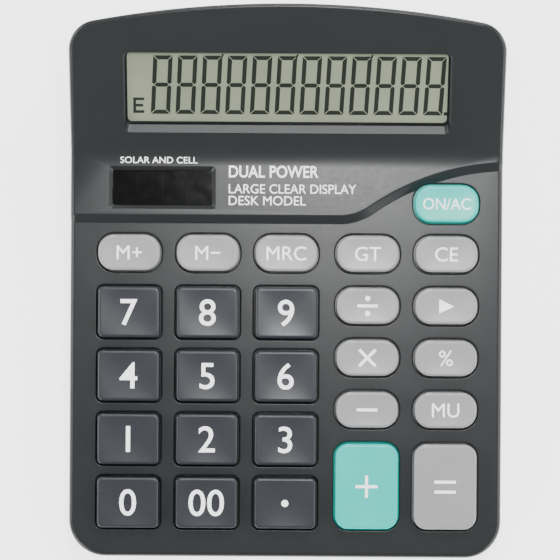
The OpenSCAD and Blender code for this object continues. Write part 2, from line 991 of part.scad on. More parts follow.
module solar_pad() {
    color([0.20, 0.20, 0.21])
        on_deck()
            translate([solar_x - solar_width / 3, band_edge + 1, board_top])
                cube([solar_width * 2 / 3, board_rear - 3 - band_edge, solar_cell_low - board_top]);
}

// ---- electronics ----

module circuit_board() {
    color(board_green)
        on_deck()
            translate([0, 0, board_low])
                linear_extrude(board_t)
                    difference() {
                        translate([-board_half, board_front])
                            square([2 * board_half, board_rear - board_front]);
                        for (p = board_screws_at)
                            translate(p)
                                circle(small_shank / 2 + screw_play);
                        for (p = case_screws_at)
                            translate(p)
                                circle(case_boss_low / 2 + 0.3);
                    }
}

// Keypad sheet with one hollow dome under each key post
module keypad_membrane() {
    dome_wall = 0.5;
    rear = memory_y + oval_d / 2 + 1.5;
    left = key_x(["", oval, 4, 0]) - number_w / 2 - 1;
    color(silicone)
        on_deck()
            translate([0, 0, board_top]) {
                difference() {
                    union() {
                        linear_extrude(membrane_t)
                            difference() {
                                union() {
                                    translate([-board_half + 0.5, board_front])
                                        square([2 * board_half - 1, rear - board_front]);
                                    translate([left, rear - 1])
                                        square([board_half - 0.5 - left, board_rear - 0.3 - rear + 1]);
                                }
                                for (p = board_screws_at)
                                    translate(p)
                                        circle(board_boss / 2 + 0.3);
                            }
                        for (k = KEYS, p = key_posts(k))
                            translate([key_x(k), key_y(k) + p, membrane_t])
                                cylinder(h = dome_rise, d1 = dome_d, d2 = dome_d * 0.55);
                    }
                    for (k = KEYS, p = key_posts(k))
                        translate([key_x(k), key_y(k) + p, -0.01])
                            cylinder(
                                h = membrane_t + dome_rise - 0.8,
                                d1 = dome_d - 2 * dome_wall,
                                d2 = dome_d * 0.62 - 2 * dome_wall
                            );
                }
                for (k = KEYS, p = key_posts(k))
                    translate([key_x(k), key_y(k) + p, key_travel + 0.1])
                        cylinder(h = membrane_t + dome_rise - key_travel - 0.5, d = 2.2);
            }
}

module chip_cover() {
    color(black)
        on_deck()
            translate([0, memory_y - oval_pitch * 1.6, board_low])
                intersection() {
                    translate([0, 0, 13])
                        sphere(r = 14.6);
                    translate([0, 0, -5])
                        cylinder(h = 5, r = 12);
                }
}

module capacitor() {
    r = 2.5;
    color([0.10, 0.13, 0.35])
        on_deck()
            translate([column_pitch * 1.1, memory_y, board_low - r]) {
                rotate([0, 90, 0])
                    cylinder(h = 7, r = r);
                translate([-1.2, -1.25, -0.25])
                    cube([1.3, 0.5, r + 0.25]);
                translate([-1.2, 0.75, -0.25])
                    cube([1.3, 0.5, r + 0.25]);
            }
}

module chip_parts() {
    color([0.35, 0.30, 0.26])
        on_deck()
            for (i = [0:4])
                translate([(i - 2) * 5 + 16, memory_y - oval_pitch * 0.75, board_low - 0.8])
                    cube([2, 1.25, 0.8]);
}

module board_screws() {
    color(steel)
        on_deck()
            for (p = board_screws_at)
                translate([p[0], p[1], board_low])
                    small_screw(board_t + 3);
}

// ---- battery ----

module battery_cell() {
    color([0.85, 0.62, 0.15])
        translate([battery_low, bay_y, bay_z])
            rotate([0, 90, 0]) {
                cylinder(h = battery_l - 1, d = battery_d);
                cylinder(h = battery_l, d = 5.5);
            }
}

// Sheet contact at one end of the bay with a tab through the roof
module contact_plate() {
    translate([0, bay_y - 5.5, bay_z - 5.5])
        cube([contact_t, 11, 11]);
    translate([0, bay_y - 1.5, bay_z])
        cube([contact_t, 3, bay_top + 1.4 - bay_z]);
}

module battery_contact() {
    color(steel)
        translate([bay_l / 2 - contact_t, 0, 0])
            contact_plate();
}

module battery_spring() {
    gap = battery_low + bay_l / 2 - contact_t;
    color(steel) {
        translate([-bay_l / 2, 0, 0])
            contact_plate();
        translate([-bay_l / 2 + contact_t, bay_y, bay_z])
            rotate([0, 90, 0]) {
                linear_extrude(height = gap - 0.35, twist = -1620, slices = 108, $fn = 10)
                    translate([3.4, 0])
                        circle(r = 0.42);
                translate([0, 0, gap - 0.4])
                    rotate_extrude()
                        translate([2.95, 0])
                            square([0.9, 0.4]);
            }
    }
}

module battery_wire(y_out) {
    top_z = bay_k_z + 0.5 + wire_d / 2;
    front_y = bay_k_y - bay_half - bay_t - 1.2;
    x = bay_l / 2 - contact_t - wire_d / 2;
    on_deck()
        wire_run([
            [x, bay_k_y + 0.1, top_z],
            [x, front_y + 0.2, top_z + 0.5],
            [x * 0.99, front_y - 1.3, top_z - 2.6],
            [x * 0.9, front_y - 9, board_low - 1.2],
            [x * 0.75, board_rear + 1, board_low - 2.6],
            [x * 0.72, y_out, board_low - 1.6],
            [x * 0.72, y_out, board_low],
        ], wire_d);
}

module battery_wire_red() {
    color(red)
        battery_wire(board_rear - 2.5);
}

module battery_wire_black() {
    color(black)
        mirror([1, 0, 0])
            battery_wire(board_rear - 2.5);
}

module solar_wire(x) {
    low_y = band_edge + 1.4;
    on_deck()
        wire_run([
            [solar_x + x, low_y + 1.6, solar_cell_low],
            [solar_x + x, low_y + 1.6, solar_cell_low - 1.1],
            [solar_x + x + 0.6, low_y, board_top + 1.4],
            [solar_x + x + 0.6, low_y, board_top],
        ], 0.8);
}

module solar_wire_red() {
    color(red)
        solar_wire(solar_width / 2 - 1.6);
}

module solar_wire_black() {
    color(black)
        solar_wire(-solar_width / 2 + 1.6);
}

// ---- fasteners and feet ----

module case_screws() {
    color(steel)
        on_deck()
            for (p = case_screws_at)
                translate([p[0], p[1], screw_seat]) {
                    translate([0, 0, -1.6])
                        difference() {
                            cylinder(h = 1.6, d = case_head);
                            translate([0, 0, -0.5])
                                for (a = [0, 90])
                                    rotate([0, 0, a])
                                        translate([-1.3, -0.3, 0])
                                            cube([2.6, 0.6, 1.4]);
                        }
                    cylinder(h = wall + 3, d = case_shank);
                }
}

module rubber_feet() {
    color([0.12, 0.12, 0.12])
        for (p = feet_at)
            translate([p[0], p[1], 0]) {
                cylinder(h = 0.4, d1 = foot_d - 0.8, d2 = foot_d);
                translate([0, 0, 0.4])
                    cylinder(h = foot_h + foot_sink - 0.4, d = foot_d);
            }
}

// ---- keys ----

module key_cap(k) {
    w = key_w(k);
    d = key_d(k);
    r = key_r(k);
    h = key_rise - key_root;
    inner_r = max(r - key_wall, 0.4);
    color(key_colour(k))
        on_deck()
            translate([key_x(k), key_y(k), key_root])
                union() {
                    difference() {
                        union() {
                            rim_block(w, d, h, r, key_rim);
                            linear_extrude(0.8)
                                rrect(w + 2 * key_flange, d + 2 * key_flange, r + key_flange);
                        }
                        translate([0, 0, -1])
                            linear_extrude(h + 1 - key_wall)
                                rrect(w - 2 * key_wall, d - 2 * key_wall, inner_r);
                    }
                    for (p = key_posts(k)) {
                        translate([0, p, dome_top + 0.3 - key_root])
                            cylinder(h = h - dome_top - 0.3 + key_root - key_wall / 2, d = 3.2);
                    }
                    translate([-w / 2 + key_wall / 2, -key_rib / 2, 1])
                        cube([w - key_wall, key_rib, h - 1 - key_wall / 2]);
                }
}

upper_case();
lower_case();
battery_door();
display_window();
lcd_panel();
lcd_reflector();
lcd_retainer();
lcd_ribbon();
retainer_screws();
solar_window();
solar_cell();
solar_pad();
circuit_board();
keypad_membrane();
chip_cover();
capacitor();
chip_parts();
board_screws();
battery_cell();
battery_spring();
battery_contact();
battery_wire_red();
battery_wire_black();
solar_wire_red();
solar_wire_black();
case_screws();
rubber_feet();
for (k = KEYS)
    key_cap(k);
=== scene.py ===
"""Visual model of a desktop calculator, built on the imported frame.

Sizes are written in millimetres and scaled once, where a mesh is made. The moulded, printed and
wound pieces are modelled here; sealed inner pieces keep the mesh they were designed with and
get a procedural finish.
"""

import logging
import math
from collections.abc import Callable, Sequence
from dataclasses import dataclass
from enum import Enum

import bmesh
import bpy
from mathutils import Matrix, Vector
from mathutils.geometry import delaunay_2d_cdt


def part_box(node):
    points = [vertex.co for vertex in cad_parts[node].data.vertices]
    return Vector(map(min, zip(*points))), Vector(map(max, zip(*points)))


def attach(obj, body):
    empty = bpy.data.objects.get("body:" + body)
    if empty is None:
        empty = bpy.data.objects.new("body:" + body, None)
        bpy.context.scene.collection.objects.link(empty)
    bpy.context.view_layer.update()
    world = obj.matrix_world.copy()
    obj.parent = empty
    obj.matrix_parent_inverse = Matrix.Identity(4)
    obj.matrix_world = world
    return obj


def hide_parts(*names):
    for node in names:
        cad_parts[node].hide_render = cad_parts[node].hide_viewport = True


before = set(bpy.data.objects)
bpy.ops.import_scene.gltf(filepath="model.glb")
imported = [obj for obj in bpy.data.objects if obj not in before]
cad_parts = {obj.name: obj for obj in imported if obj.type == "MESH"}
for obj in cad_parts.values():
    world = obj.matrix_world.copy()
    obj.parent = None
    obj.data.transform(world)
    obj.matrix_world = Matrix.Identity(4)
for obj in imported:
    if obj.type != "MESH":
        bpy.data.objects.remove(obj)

LOG = logging.getLogger("calculator")
MM = 0.001
Plan = list[tuple[float, float]]


# ---------------------------------------------------------------- sizes


@dataclass(frozen=True)
class Sizes:
    """Sizes of the case and its openings, in millimetres and degrees."""

    width: float = 118.0
    length: float = 149.7
    front_height: float = 11.5
    slope: float = 4.0
    deck_shift: float = -75.4068
    wall: float = 2.0
    front_corner: float = 10.0
    rear_corner: float = 8.0
    rear_bow: float = 296.0
    edge: float = 1.35
    lip: float = 0.42
    head_length: float = 39.1
    tilt: float = 22.0
    head_wall: float = 2.2
    window_side: float = 15.0
    window_low: float = 7.1
    window_high: float = 14.2
    window_bevel: float = 1.7
    band_rise: float = 1.2
    band_length: float = 17.3
    band_foot: float = 2.2
    curve_start: float = 0.244
    curve_out: float = 14.1
    curve_in: float = 67.8
    curve_turn: float = 35.0
    solar_width: float = 27.2
    solar_length: float = 9.6
    seam: float = -5.6
    mating: float = -6.5
    column_share: float = 0.18136
    column_gap: float = 4.6
    block_gap: float = 0.8
    number_gap: float = 3.48
    oval_gap: float = 4.43
    front_margin: float = 8.0
    rear_margin: float = 5.5
    key_rise: float = 2.5
    key_root: float = -3.1
    key_play: float = 0.45
    key_rim: float = 0.7
    key_wall: float = 1.2
    key_flange: float = 1.0
    pane_low: float = -2.85
    lcd_top: float = -3.2
    boss: float = 2.4
    boss_in: float = 2.9
    boss_side: float = 6.0
    boss_crease: float = 4.6
    boss_rear: float = 1.85

    @property
    def half(self) -> float:
        """Half of the width."""
        return self.width / 2

    @property
    def pitch(self) -> float:
        """Distance between the columns of keys."""
        return self.width * self.column_share

    @property
    def rear_corner_y(self) -> float:
        """Middle of the rounding of the rear corners, along the deck."""
        bow, reach = self.rear_bow - self.rear_corner, self.half - self.rear_corner
        return self.length - self.rear_bow + math.sqrt(bow**2 - reach**2)

    @property
    def crease(self) -> float:
        """Where the display face starts to rise, along the deck."""
        return self.length - self.head_length

    @property
    def band_edge(self) -> float:
        """Front top edge of the raised strip, along the deck."""
        return self.crease - self.band_length

    @property
    def window(self) -> tuple[float, float, float]:
        """Width, height and middle of the display window in the display face."""
        high = self.head_length / math.cos(math.radians(self.tilt))
        tall = high - self.window_low - self.window_high
        return self.width - 2 * self.window_side, tall, self.window_low + tall / 2

    @property
    def solar(self) -> tuple[float, float]:
        """Middle of the solar window on the deck."""
        return -0.288 * self.width, self.band_edge + 7.4


class Places:
    """The two working frames: the sloping key deck and the tilted display face."""

    def __init__(self, s: Sizes) -> None:
        """Sets up both frames, in millimetres."""
        turn = Matrix.Rotation(math.radians(s.slope), 4, "X")
        self.deck = Matrix.Translation((0, s.deck_shift, s.front_height)) @ turn
        self.head_on_deck = Matrix.Translation((0, s.crease, s.band_rise)) @ Matrix.Rotation(
            math.radians(s.tilt), 4, "X"
        )
        self.head = self.deck @ self.head_on_deck


def metres(matrix: Matrix) -> Matrix:
    """The same placing, for coordinates that are already in metres."""
    out = matrix.copy()
    out.translation = matrix.translation * MM
    return out


# ---------------------------------------------------------------- plan curves


def arc(cx: float, cy: float, r: float, start: float, end: float, steps: int) -> Plan:
    """Points on a circle from one angle to another.

    Args:
        cx: middle of the circle, sideways.
        cy: middle of the circle, lengthways.
        r: radius.
        start: first angle, in degrees.
        end: last angle, in degrees.
        steps: number of chords.

    Returns:
        The points, both ends included.
    """
    angles = [math.radians(start + (end - start) * i / steps) for i in range(steps + 1)]
    return [(cx + r * math.cos(a), cy + r * math.sin(a)) for a in angles]


def rounded(cx: float, cy: float, w: float, d: float, r: float, steps: int = 6) -> Plan:
    """Rounded rectangle, anticlockwise."""
    x, y = w / 2 - r, d / 2 - r
    out: Plan = []
    for quarter, (sx, sy) in enumerate(((1, 1), (-1, 1), (-1, -1), (1, -1))):
        out += arc(cx + sx * x, cy + sy * y, r, 90 * quarter, 90 * quarter + 90, steps)
    return out


def offset(loop: Plan, distance: float) -> Plan:
    """Moves a closed loop to the right of its direction, keeping its corners mitred.

    Args:
        loop: closed loop.
        distance: how far; a negative one moves it to the left.

    Returns:
        A loop with as many points.
    """
    out: Plan = []
    for i, (x, y) in enumerate(loop):
        before, after = Vector(loop[i - 1]), Vector(loop[(i + 1) % len(loop)])
        one, two = Vector((x, y)) - before, after - Vector((x, y))
        one, two = Vector((one.y, -one.x)).normalized(), Vector((two.y, -two.x)).normalized()
        move = (one + two) * (distance / max(1 + one.dot(two), 0.2))
        out.append((x + move.x, y + move.y))
    return out


def inside(point: tuple[float, float], loop: Plan) -> bool:
    """Whether a point lies in a closed loop."""
    x, y = point
    hit = False
    for (x0, y0), (x1, y1) in zip(loop, loop[1:] + loop[:1]):
        if (y0 > y) != (y1 > y) and x < x0 + (y - y0) * (x1 - x0) / (y1 - y0):
            hit = not hit
    return hit


def area(loop: Plan) -> float:
    """Signed area of a loop, positive when anticlockwise."""
    return sum(a[0] * b[1] - b[0] * a[1] for a, b in zip(loop, loop[1:] + loop[:1])) / 2


class Draft:
    """Faces gathered in millimetres and joined into one mesh at the end."""

    def __init__(self) -> None:
        """Starts empty."""
        self.points: list[Vector] = []
        self.faces: list[tuple[int, ...]] = []
        self.slots: list[int] = []

    def add(self, points: Sequence[Vector], faces: Sequence[Sequence[int]], slot: int = 0) -> None:
        """Adds points and the faces between them."""
        base = len(self.points)
        self.points += [Vector(p) for p in points]
        self.faces += [tuple(base + i for i in f) for f in faces]
        self.slots += [slot] * len(faces)

    def loft(self, rings: Sequence[Sequence[Vector]], slot: int = 0, ends: bool = False) -> None:
        """Joins closed rings of equal length in order.

        Args:
            rings: rings of points, one after the other.
            slot: material slot of the faces.
            ends: whether the first and the last ring are closed with a face.
        """
        n = len(rings[0])
        points = [p for ring in rings for p in ring]
        faces: list[Sequence[int]] = []
        for k in range(len(rings) - 1):
            for i in range(n):
                j = (i + 1) % n
                faces.append((k * n + i, k * n + j, (k + 1) * n + j, (k + 1) * n + i))
        if ends:
            faces += [tuple(range(n))[::-1], tuple((len(rings) - 1) * n + i for i in range(n))]
        self.add(points, faces, slot)

    def sheet(
        self,
        outer: Plan,
        holes: Sequence[Plan],
        lines: Sequence[Plan],
        lift: Callable[[float, float], Vector],
        slot_of: Callable[[float, float], int] = lambda x, y: 0,
    ) -> list[Plan]:
        """Fills the space between an outer loop and its holes.

        Args:
            outer: anticlockwise outer loop.
            holes: loops to leave open.
            lines: polylines that edges have to follow.
            lift: gives the place in space of a plan point.
            slot_of: gives the material slot of the face round a plan point.

        Returns:
            The border loops of the filled area, material on their left.
        """
        spots: list[Vector] = []
        edges: list[tuple[int, int]] = []
        for loop in (outer, *holes):
            base = len(spots)
            spots += [Vector(p) for p in loop]
            edges += [(base + i, base + (i + 1) % len(loop)) for i in range(len(loop))]
        for line in lines:
            base = len(spots)
            spots += [Vector(p) for p in line]
            edges += [(base + i, base + i + 1) for i in range(len(line) - 1)]
        found, _, triangles, _, _, _ = delaunay_2d_cdt(spots, edges, [], 0, 1e-4)
        kept = []
        for tri in triangles:
            x = sum(found[i].x for i in tri) / 3
            y = sum(found[i].y for i in tri) / 3
            if inside((x, y), outer) and not any(inside((x, y), h) for h in holes):
                turn = area([tuple(found[i]) for i in tri])
                kept.append((tuple(tri) if turn > 0 else tuple(tri)[::-1], slot_of(x, y)))
        used = sorted({i for tri, _ in kept for i in tri})
        index = {old: new for new, old in enumerate(used)}
        base = len(self.points)
        self.points += [lift(found[i].x, found[i].y) for i in used]
        for tri, slot in kept:
            self.faces.append(tuple(base + index[i] for i in tri))
            self.slots.append(slot)
        sides = {(t[i], t[(i + 1) % 3]) for t, _ in kept for i in range(3)}
        follow = {a: b for a, b in sides if (b, a) not in sides}
        loops: list[Plan] = []
        while follow:
            at, nxt = follow.popitem()
            loop = [at]
            while nxt != at:
                loop.append(nxt)
                nxt = follow.pop(nxt)
            loops.append([(found[i].x, found[i].y) for i in loop])
        return loops

    def build(
        self, name: str, matrix: Matrix, materials: Sequence[bpy.types.Material], sharp: float = 32
    ) -> bpy.types.Object:
        """Joins the points, turns every face outwards and makes the object.

        Args:
            name: name of the piece.
            matrix: frame the points were drawn in, in millimetres.
            materials: one material for each slot.
            sharp: angle above which an edge stays crisp, in degrees.

        Returns:
            The object, at the origin and unscaled.
        """
        bm = bmesh.new()
        verts = [bm.verts.new((matrix @ p) * MM) for p in self.points]
        for face, slot in zip(self.faces, self.slots):
            try:
                bm.faces.new([verts[i] for i in face]).material_index = slot
            except ValueError:
                continue
        bmesh.ops.remove_doubles(bm, verts=bm.verts, dist=2e-6)
        bmesh.ops.dissolve_degenerate(bm, edges=bm.edges, dist=1e-7)
        bmesh.ops.recalc_face_normals(bm, faces=bm.faces)
        mesh = bpy.data.meshes.new(name)
        bm.to_mesh(mesh)
        bm.free()
        return finish_mesh(name, mesh, materials, sharp)


def finish_mesh(
    name: str, mesh: bpy.types.Mesh, materials: Sequence[bpy.types.Material], sharp: float
) -> bpy.types.Object:
    """Gives a mesh its materials and shading and puts it in the scene.

    Args:
        name: name of the piece.
        mesh: its mesh, in metres.
        materials: one material for each slot.
        sharp: angle above which an edge stays crisp, in degrees.

    Returns:
        The object.
    """
    mesh.materials.clear()
    for material in materials:
        mesh.materials.append(material)
    mesh.shade_smooth()
    mesh.set_sharp_from_angle(angle=math.radians(sharp))
    obj = bpy.data.objects.new(name, mesh)
    bpy.context.scene.collection.objects.link(obj)
    return obj


def weight_normals(obj: bpy.types.Object) -> None:
    """Lets large flat faces decide the shading of the small ones beside them."""
    modifier = obj.modifiers.new("Normals", "WEIGHTED_NORMAL")
    modifier.keep_sharp = True
    modifier.weight = 90
    graph = bpy.context.evaluated_depsgraph_get()
    mesh = bpy.data.meshes.new_from_object(obj.evaluated_get(graph), depsgraph=graph)
    obj.modifiers.clear()
    mesh.name = obj.name
    obj.data = mesh


# ---------------------------------------------------------------- finishes


def linear(code: str) -> tuple[float, float, float, float]:
    """Linear colour of a six-figure code."""
    parts = [int(code[i : i + 2], 16) / 255 for i in (0, 2, 4)]
    r, g, b = (p / 12.92 if p <= 0.04045 else ((p + 0.055) / 1.055) ** 2.4 for p in parts)
    return r, g, b, 1.0


class Tone(Enum):
    """Colours of the pieces."""

    CASE = "282a2b"
    HEAD = "2d2d2f"
    BASE = "34363a"
    KEY_BLACK = "34363b"
    KEY_GREY = "a4a4a6"
    KEY_TEAL = "00d2c4"
    LEGEND = "fcfcfc"
    LCD = "d8dfc2"
    SEGMENT = "343c30"
    # Border round the display window: partly the wall's own dark plastic, partly painted shade.
    MASK = "1e2020"
    SILICON = "16110f"
    STEEL = "b9bbbe"
    SILICONE = "cfcfca"
    BOARD = "1a6442"
    FOIL = "b9bbb4"
    FILM = "b5803a"
    EPOXY = "121214"
    SLEEVE = "1a2a66"
    CERAMIC = "7a6450"
    FOAM = "3a3a3c"
    BATTERY = "c08a24"
    RED = "b01a14"
    BLACK = "141416"
    RUBBER = "1b1b1c"


class Graph:
    """Short calls for wiring shader nodes."""

    def __init__(self, name: str) -> None:
        """Makes an empty material."""
        self.material = bpy.data.materials.new(name)
        self.material.use_nodes = True
        self.nodes = self.material.node_tree.nodes
        self.links = self.material.node_tree.links
        self.nodes.clear()
        self.output = self.nodes.new("ShaderNodeOutputMaterial")
        self.place = self.nodes.new("ShaderNodeTexCoord").outputs["Object"]

    def plug(self, socket: bpy.types.NodeSocket, value: object) -> None:
        """Links a socket or sets a constant."""
        if isinstance(value, bpy.types.NodeSocket):
            self.links.new(value, socket)
        else:
            socket.default_value = value

    def node(self, kind: str, **inputs: object) -> bpy.types.Node:
        """Adds a node and fills its inputs.

        Args:
            kind: type of the node.
            inputs: a socket to link or a constant for each input. The key is the input's name, or
                i and its number where names repeat.

        Returns:
            The node.
        """
        node = self.nodes.new(kind)
        for key, value in inputs.items():
            numbered = key[0] == "i" and key[1:].isdigit()
            self.plug(node.inputs[int(key[1:]) if numbered else key.replace("_", " ")], value)
        return node

    def noise(self, size: float, detail: float = 3.0) -> bpy.types.NodeSocket:
        """Noise whose features are about size millimetres wide, from 0 to 1."""
        node = self.node("ShaderNodeTexNoise", Vector=self.place, Scale=1 / (size * MM), Detail=detail)
        return node.outputs[0]

    def spread(
        self, value: bpy.types.NodeSocket, a: float, b: float, c: float, d: float
    ) -> bpy.types.NodeSocket:
        """Maps a value from the range a to b onto c to d."""
        node = self.node("ShaderNodeMapRange", i0=value, i1=a, i2=b, i3=c, i4=d)
        return node.outputs[0]

    def shade(self, colour: Sequence[float], value: bpy.types.NodeSocket) -> bpy.types.NodeSocket:
        """A colour made lighter or darker by a value round 1."""
        node = self.node("ShaderNodeVectorMath", i0=tuple(colour)[:3])
        node.operation = "SCALE"
        self.plug(node.inputs["Scale"], value)
        return node.outputs[0]

    def mix(self, share: object, one: object, two: object) -> bpy.types.NodeSocket:
        """Blend of two colours."""
        node = self.nodes.new("ShaderNodeMix")
        node.data_type = "RGBA"
        for index, value in ((0, share), (6, one), (7, two)):
            self.plug(node.inputs[index], value)
        return node.outputs[2]

    def close(self, shader: bpy.types.NodeSocket) -> bpy.types.Material:
        """Links the surface and returns the material."""
        self.links.new(shader, self.output.inputs["Surface"])
        return self.material


@dataclass(frozen=True)
class Finish:
    """An opaque surface with grain, uneven gloss, uneven colour, worn edges and, where glow is set, a
    painted glow.
    """

    name: str
    tone: Tone
    roughness: float = 0.45
    grain: float = 0.012
    grain_size: float = 0.35
    mottle: float = 0.05
    wear: float = 0.25
    metal: float = 0.0
    specular: float = 0.5
    # Painted glow: emission that brightens a surface that is no lamp.
    glow: float = 0.0

    def build(self) -> bpy.types.Material:
        """Makes the material."""
        g = Graph(self.name)
        base = linear(self.tone.value)
        cloud = g.spread(g.noise(9.0), 0.3, 0.7, 1 - self.mottle, 1 + self.mottle)
        colour = g.shade(base, cloud)
        point = g.node("ShaderNodeNewGeometry").outputs["Pointiness"]
        edge = g.spread(point, 0.52, 0.60, 0.0, self.wear)
        colour = g.mix(edge, colour, tuple(min(1.0, c * 1.9 + 0.02) for c in base[:3]) + (1.0,))
        gloss = g.spread(g.noise(1.2), 0.3, 0.7, self.roughness - 0.02, self.roughness + 0.02)
        bump = g.node(
            "ShaderNodeBump",
            Height=g.noise(self.grain_size, 2.0),
            Distance=self.grain * MM,
            Strength=1.0,
        )
        shader = g.node(
            "ShaderNodeBsdfPrincipled",
            Base_Color=colour,
            Roughness=gloss,
            Metallic=self.metal,
            Normal=bump.outputs[0],
            Specular_IOR_Level=self.specular,
            Emission_Color=colour,
            Emission_Strength=self.glow,
        )
        return g.close(shader.outputs[0])


@dataclass(frozen=True)
class ClearFinish:
    """Clear or tinted sheet that lets light straight through and reflects a little."""

    name: str
    tint: tuple[float, float, float]
    gloss: float = 0.06
    reflect: float = 0.5

    def build(self) -> bpy.types.Material:
        """Makes the material."""
        g = Graph(self.name)
        haze = g.spread(g.noise(14.0), 0.3, 0.7, 0.97, 1.0)
        through = g.node("ShaderNodeBsdfTransparent", Color=g.shade(self.tint, haze))
        fleck = g.node("ShaderNodeBump", Height=g.noise(6.0), Distance=0.01 * MM, Strength=0.3)
        gloss = g.spread(g.noise(3.0), 0.3, 0.7, self.gloss, self.gloss + 0.05)
        shine = g.node("ShaderNodeBsdfGlossy", Roughness=gloss, Normal=fleck.outputs[0])
        angle = g.node("ShaderNodeFresnel", IOR=1.0 + self.reflect)
        mix = g.node("ShaderNodeMixShader", i0=angle.outputs[0], i1=through.outputs[0],
                     i2=shine.outputs[0])
        return g.close(mix.outputs[0])


@dataclass(frozen=True)
class CellFinish:
    """Dark silicon with fine silver lines between its strips."""

    name: str
    pitch: float
    start: float

    def build(self) -> bpy.types.Material:
        """Makes the material."""
        g = Graph(self.name)
        x = g.node("ShaderNodeSeparateXYZ", Vector=g.place).outputs[0]
        shifted = g.node("ShaderNodeMath", i0=x, i1=-self.start * MM)
        wrapped = g.node("ShaderNodeMath", i0=shifted.outputs[0], i1=self.pitch * MM)
        wrapped.operation = "PINGPONG"
        line = g.spread(wrapped.outputs[0], 0.12 * MM, 0.2 * MM, 0.6, 0.0)
        cloud = g.shade(linear(Tone.SILICON.value), g.spread(g.noise(4.0), 0.3, 0.7, 0.7, 1.4))
        colour = g.mix(line, cloud, linear(Tone.STEEL.value))
        shader = g.node("ShaderNodeBsdfPrincipled", Base_Color=colour,
                        Roughness=g.spread(g.noise(2.0), 0.3, 0.7, 0.2, 0.35))
        return g.close(shader.outputs[0])


class Finishes:
    """Every material of the model, made once."""

    def __init__(self, s: Sizes) -> None:
        """Builds the materials."""
        glossy = {"roughness": 0.3, "grain": 0.0012, "grain_size": 0.5, "mottle": 0.03}
        self.case = Finish("CasePlastic", Tone.CASE, 0.31, 0.012, 0.32, 0.04, 0.1).build()
        self.head = Finish("HeadPlastic", Tone.HEAD, 0.36, 0.008, 0.32, 0.03, 0.1).build()
        self.base = Finish("BasePlastic", Tone.BASE, 0.55, 0.02, 0.5).build()
        self.black = Finish("KeyBlack", Tone.KEY_BLACK, **glossy).build()
        self.grey = Finish("KeyGrey", Tone.KEY_GREY, wear=0.35, **glossy).build()
        # Teal keys get a painted glow, emission that brightens them though they are no lamp.
        self.teal = Finish("KeyTeal", Tone.KEY_TEAL, wear=0.3, glow=0.12, **glossy).build()
        # The white ink gets a strong painted glow, emission that makes the print shine though it is no
        # lamp.
        self.legend = Finish("LegendInk", Tone.LEGEND, 0.6, 0.004, 0.2, 0.02, 0.0, glow=1.1).build()
        # The LCD glass gets a painted glow that lifts it out of the shade of its recess.
        self.lcd = Finish("LcdGlassGlowing", Tone.LCD, 0.35, 0.0, 1.0, 0.02, 0.0, glow=0.16).build()
        self.segment = Finish("LcdSegment", Tone.SEGMENT, 0.5, 0.0, 1.0, 0.04, 0.0).build()
        # Dark border round the display window: partly the wall's own dark plastic, partly painted shade
        # of the window's wall.
        self.mask = Finish("BorderWallShade", Tone.MASK, 0.5, 0.002, 0.2, 0.02, 0.0).build()
        self.pane = ClearFinish("PaneClear", (0.96, 0.97, 0.96)).build()
        self.solar_pane = ClearFinish("SolarPane", (0.22, 0.22, 0.23), 0.08, 0.55).build()
        self.cell = CellFinish("SolarSilicon", s.solar_width / 8, s.solar[0]).build()
        self.steel = Finish("Steel", Tone.STEEL, 0.32, 0.004, 0.3, 0.05, 0.3, 1.0).build()
        self.rubber = Finish("FootRubber", Tone.RUBBER, 0.8, 0.03, 0.4).build()
        self.inner = {
            "lcd_panel": self.lcd,
            "lcd_reflector": Finish("Foil", Tone.FOIL, 0.35, 0.004, 0.4, 0.04, 0.1, 0.8).build(),
            "lcd_retainer": Finish("Retainer", Tone.BASE, 0.55).build(),
            "lcd_ribbon": Finish("RibbonFilm", Tone.FILM, 0.35, 0.004).build(),
            "retainer_screws": self.steel,
            "solar_window": self.solar_pane,
            "solar_cell": self.cell,
            "solar_pad": Finish("Foam", Tone.FOAM, 0.95, 0.15, 0.5).build(),
            "circuit_board": Finish("Board", Tone.BOARD, 0.4, 0.01, 0.5, 0.08).build(),
            "keypad_membrane": Finish("Silicone", Tone.SILICONE, 0.6, 0.01).build(),
            "chip_cover": Finish("Epoxy", Tone.EPOXY, 0.25, 0.01, 1.0).build(),
            "capacitor": Finish("Sleeve", Tone.SLEEVE, 0.3, 0.005).build(),
            "chip_parts": Finish("Ceramic", Tone.CERAMIC, 0.6).build(),
            "board_screws": self.steel,
            "battery_cell": Finish("BatteryJacket", Tone.BATTERY, 0.3, 0.004, 0.6, 0.06).build(),
            "battery_contact": self.steel,
            "battery_wire_red": Finish("WireRed", Tone.RED, 0.4, 0.005).build(),
            "battery_wire_black": Finish("WireBlack", Tone.BLACK, 0.4, 0.005).build(),
            "case_screws": self.steel,
            "rubber_feet": self.rubber,
            "lower_case": self.base,
            "battery_door": self.base,
        }
        self.inner["solar_wire_red"] = self.inner["battery_wire_red"]
        self.inner["solar_wire_black"] = self.inner["battery_wire_black"]


# ---------------------------------------------------------------- upper case


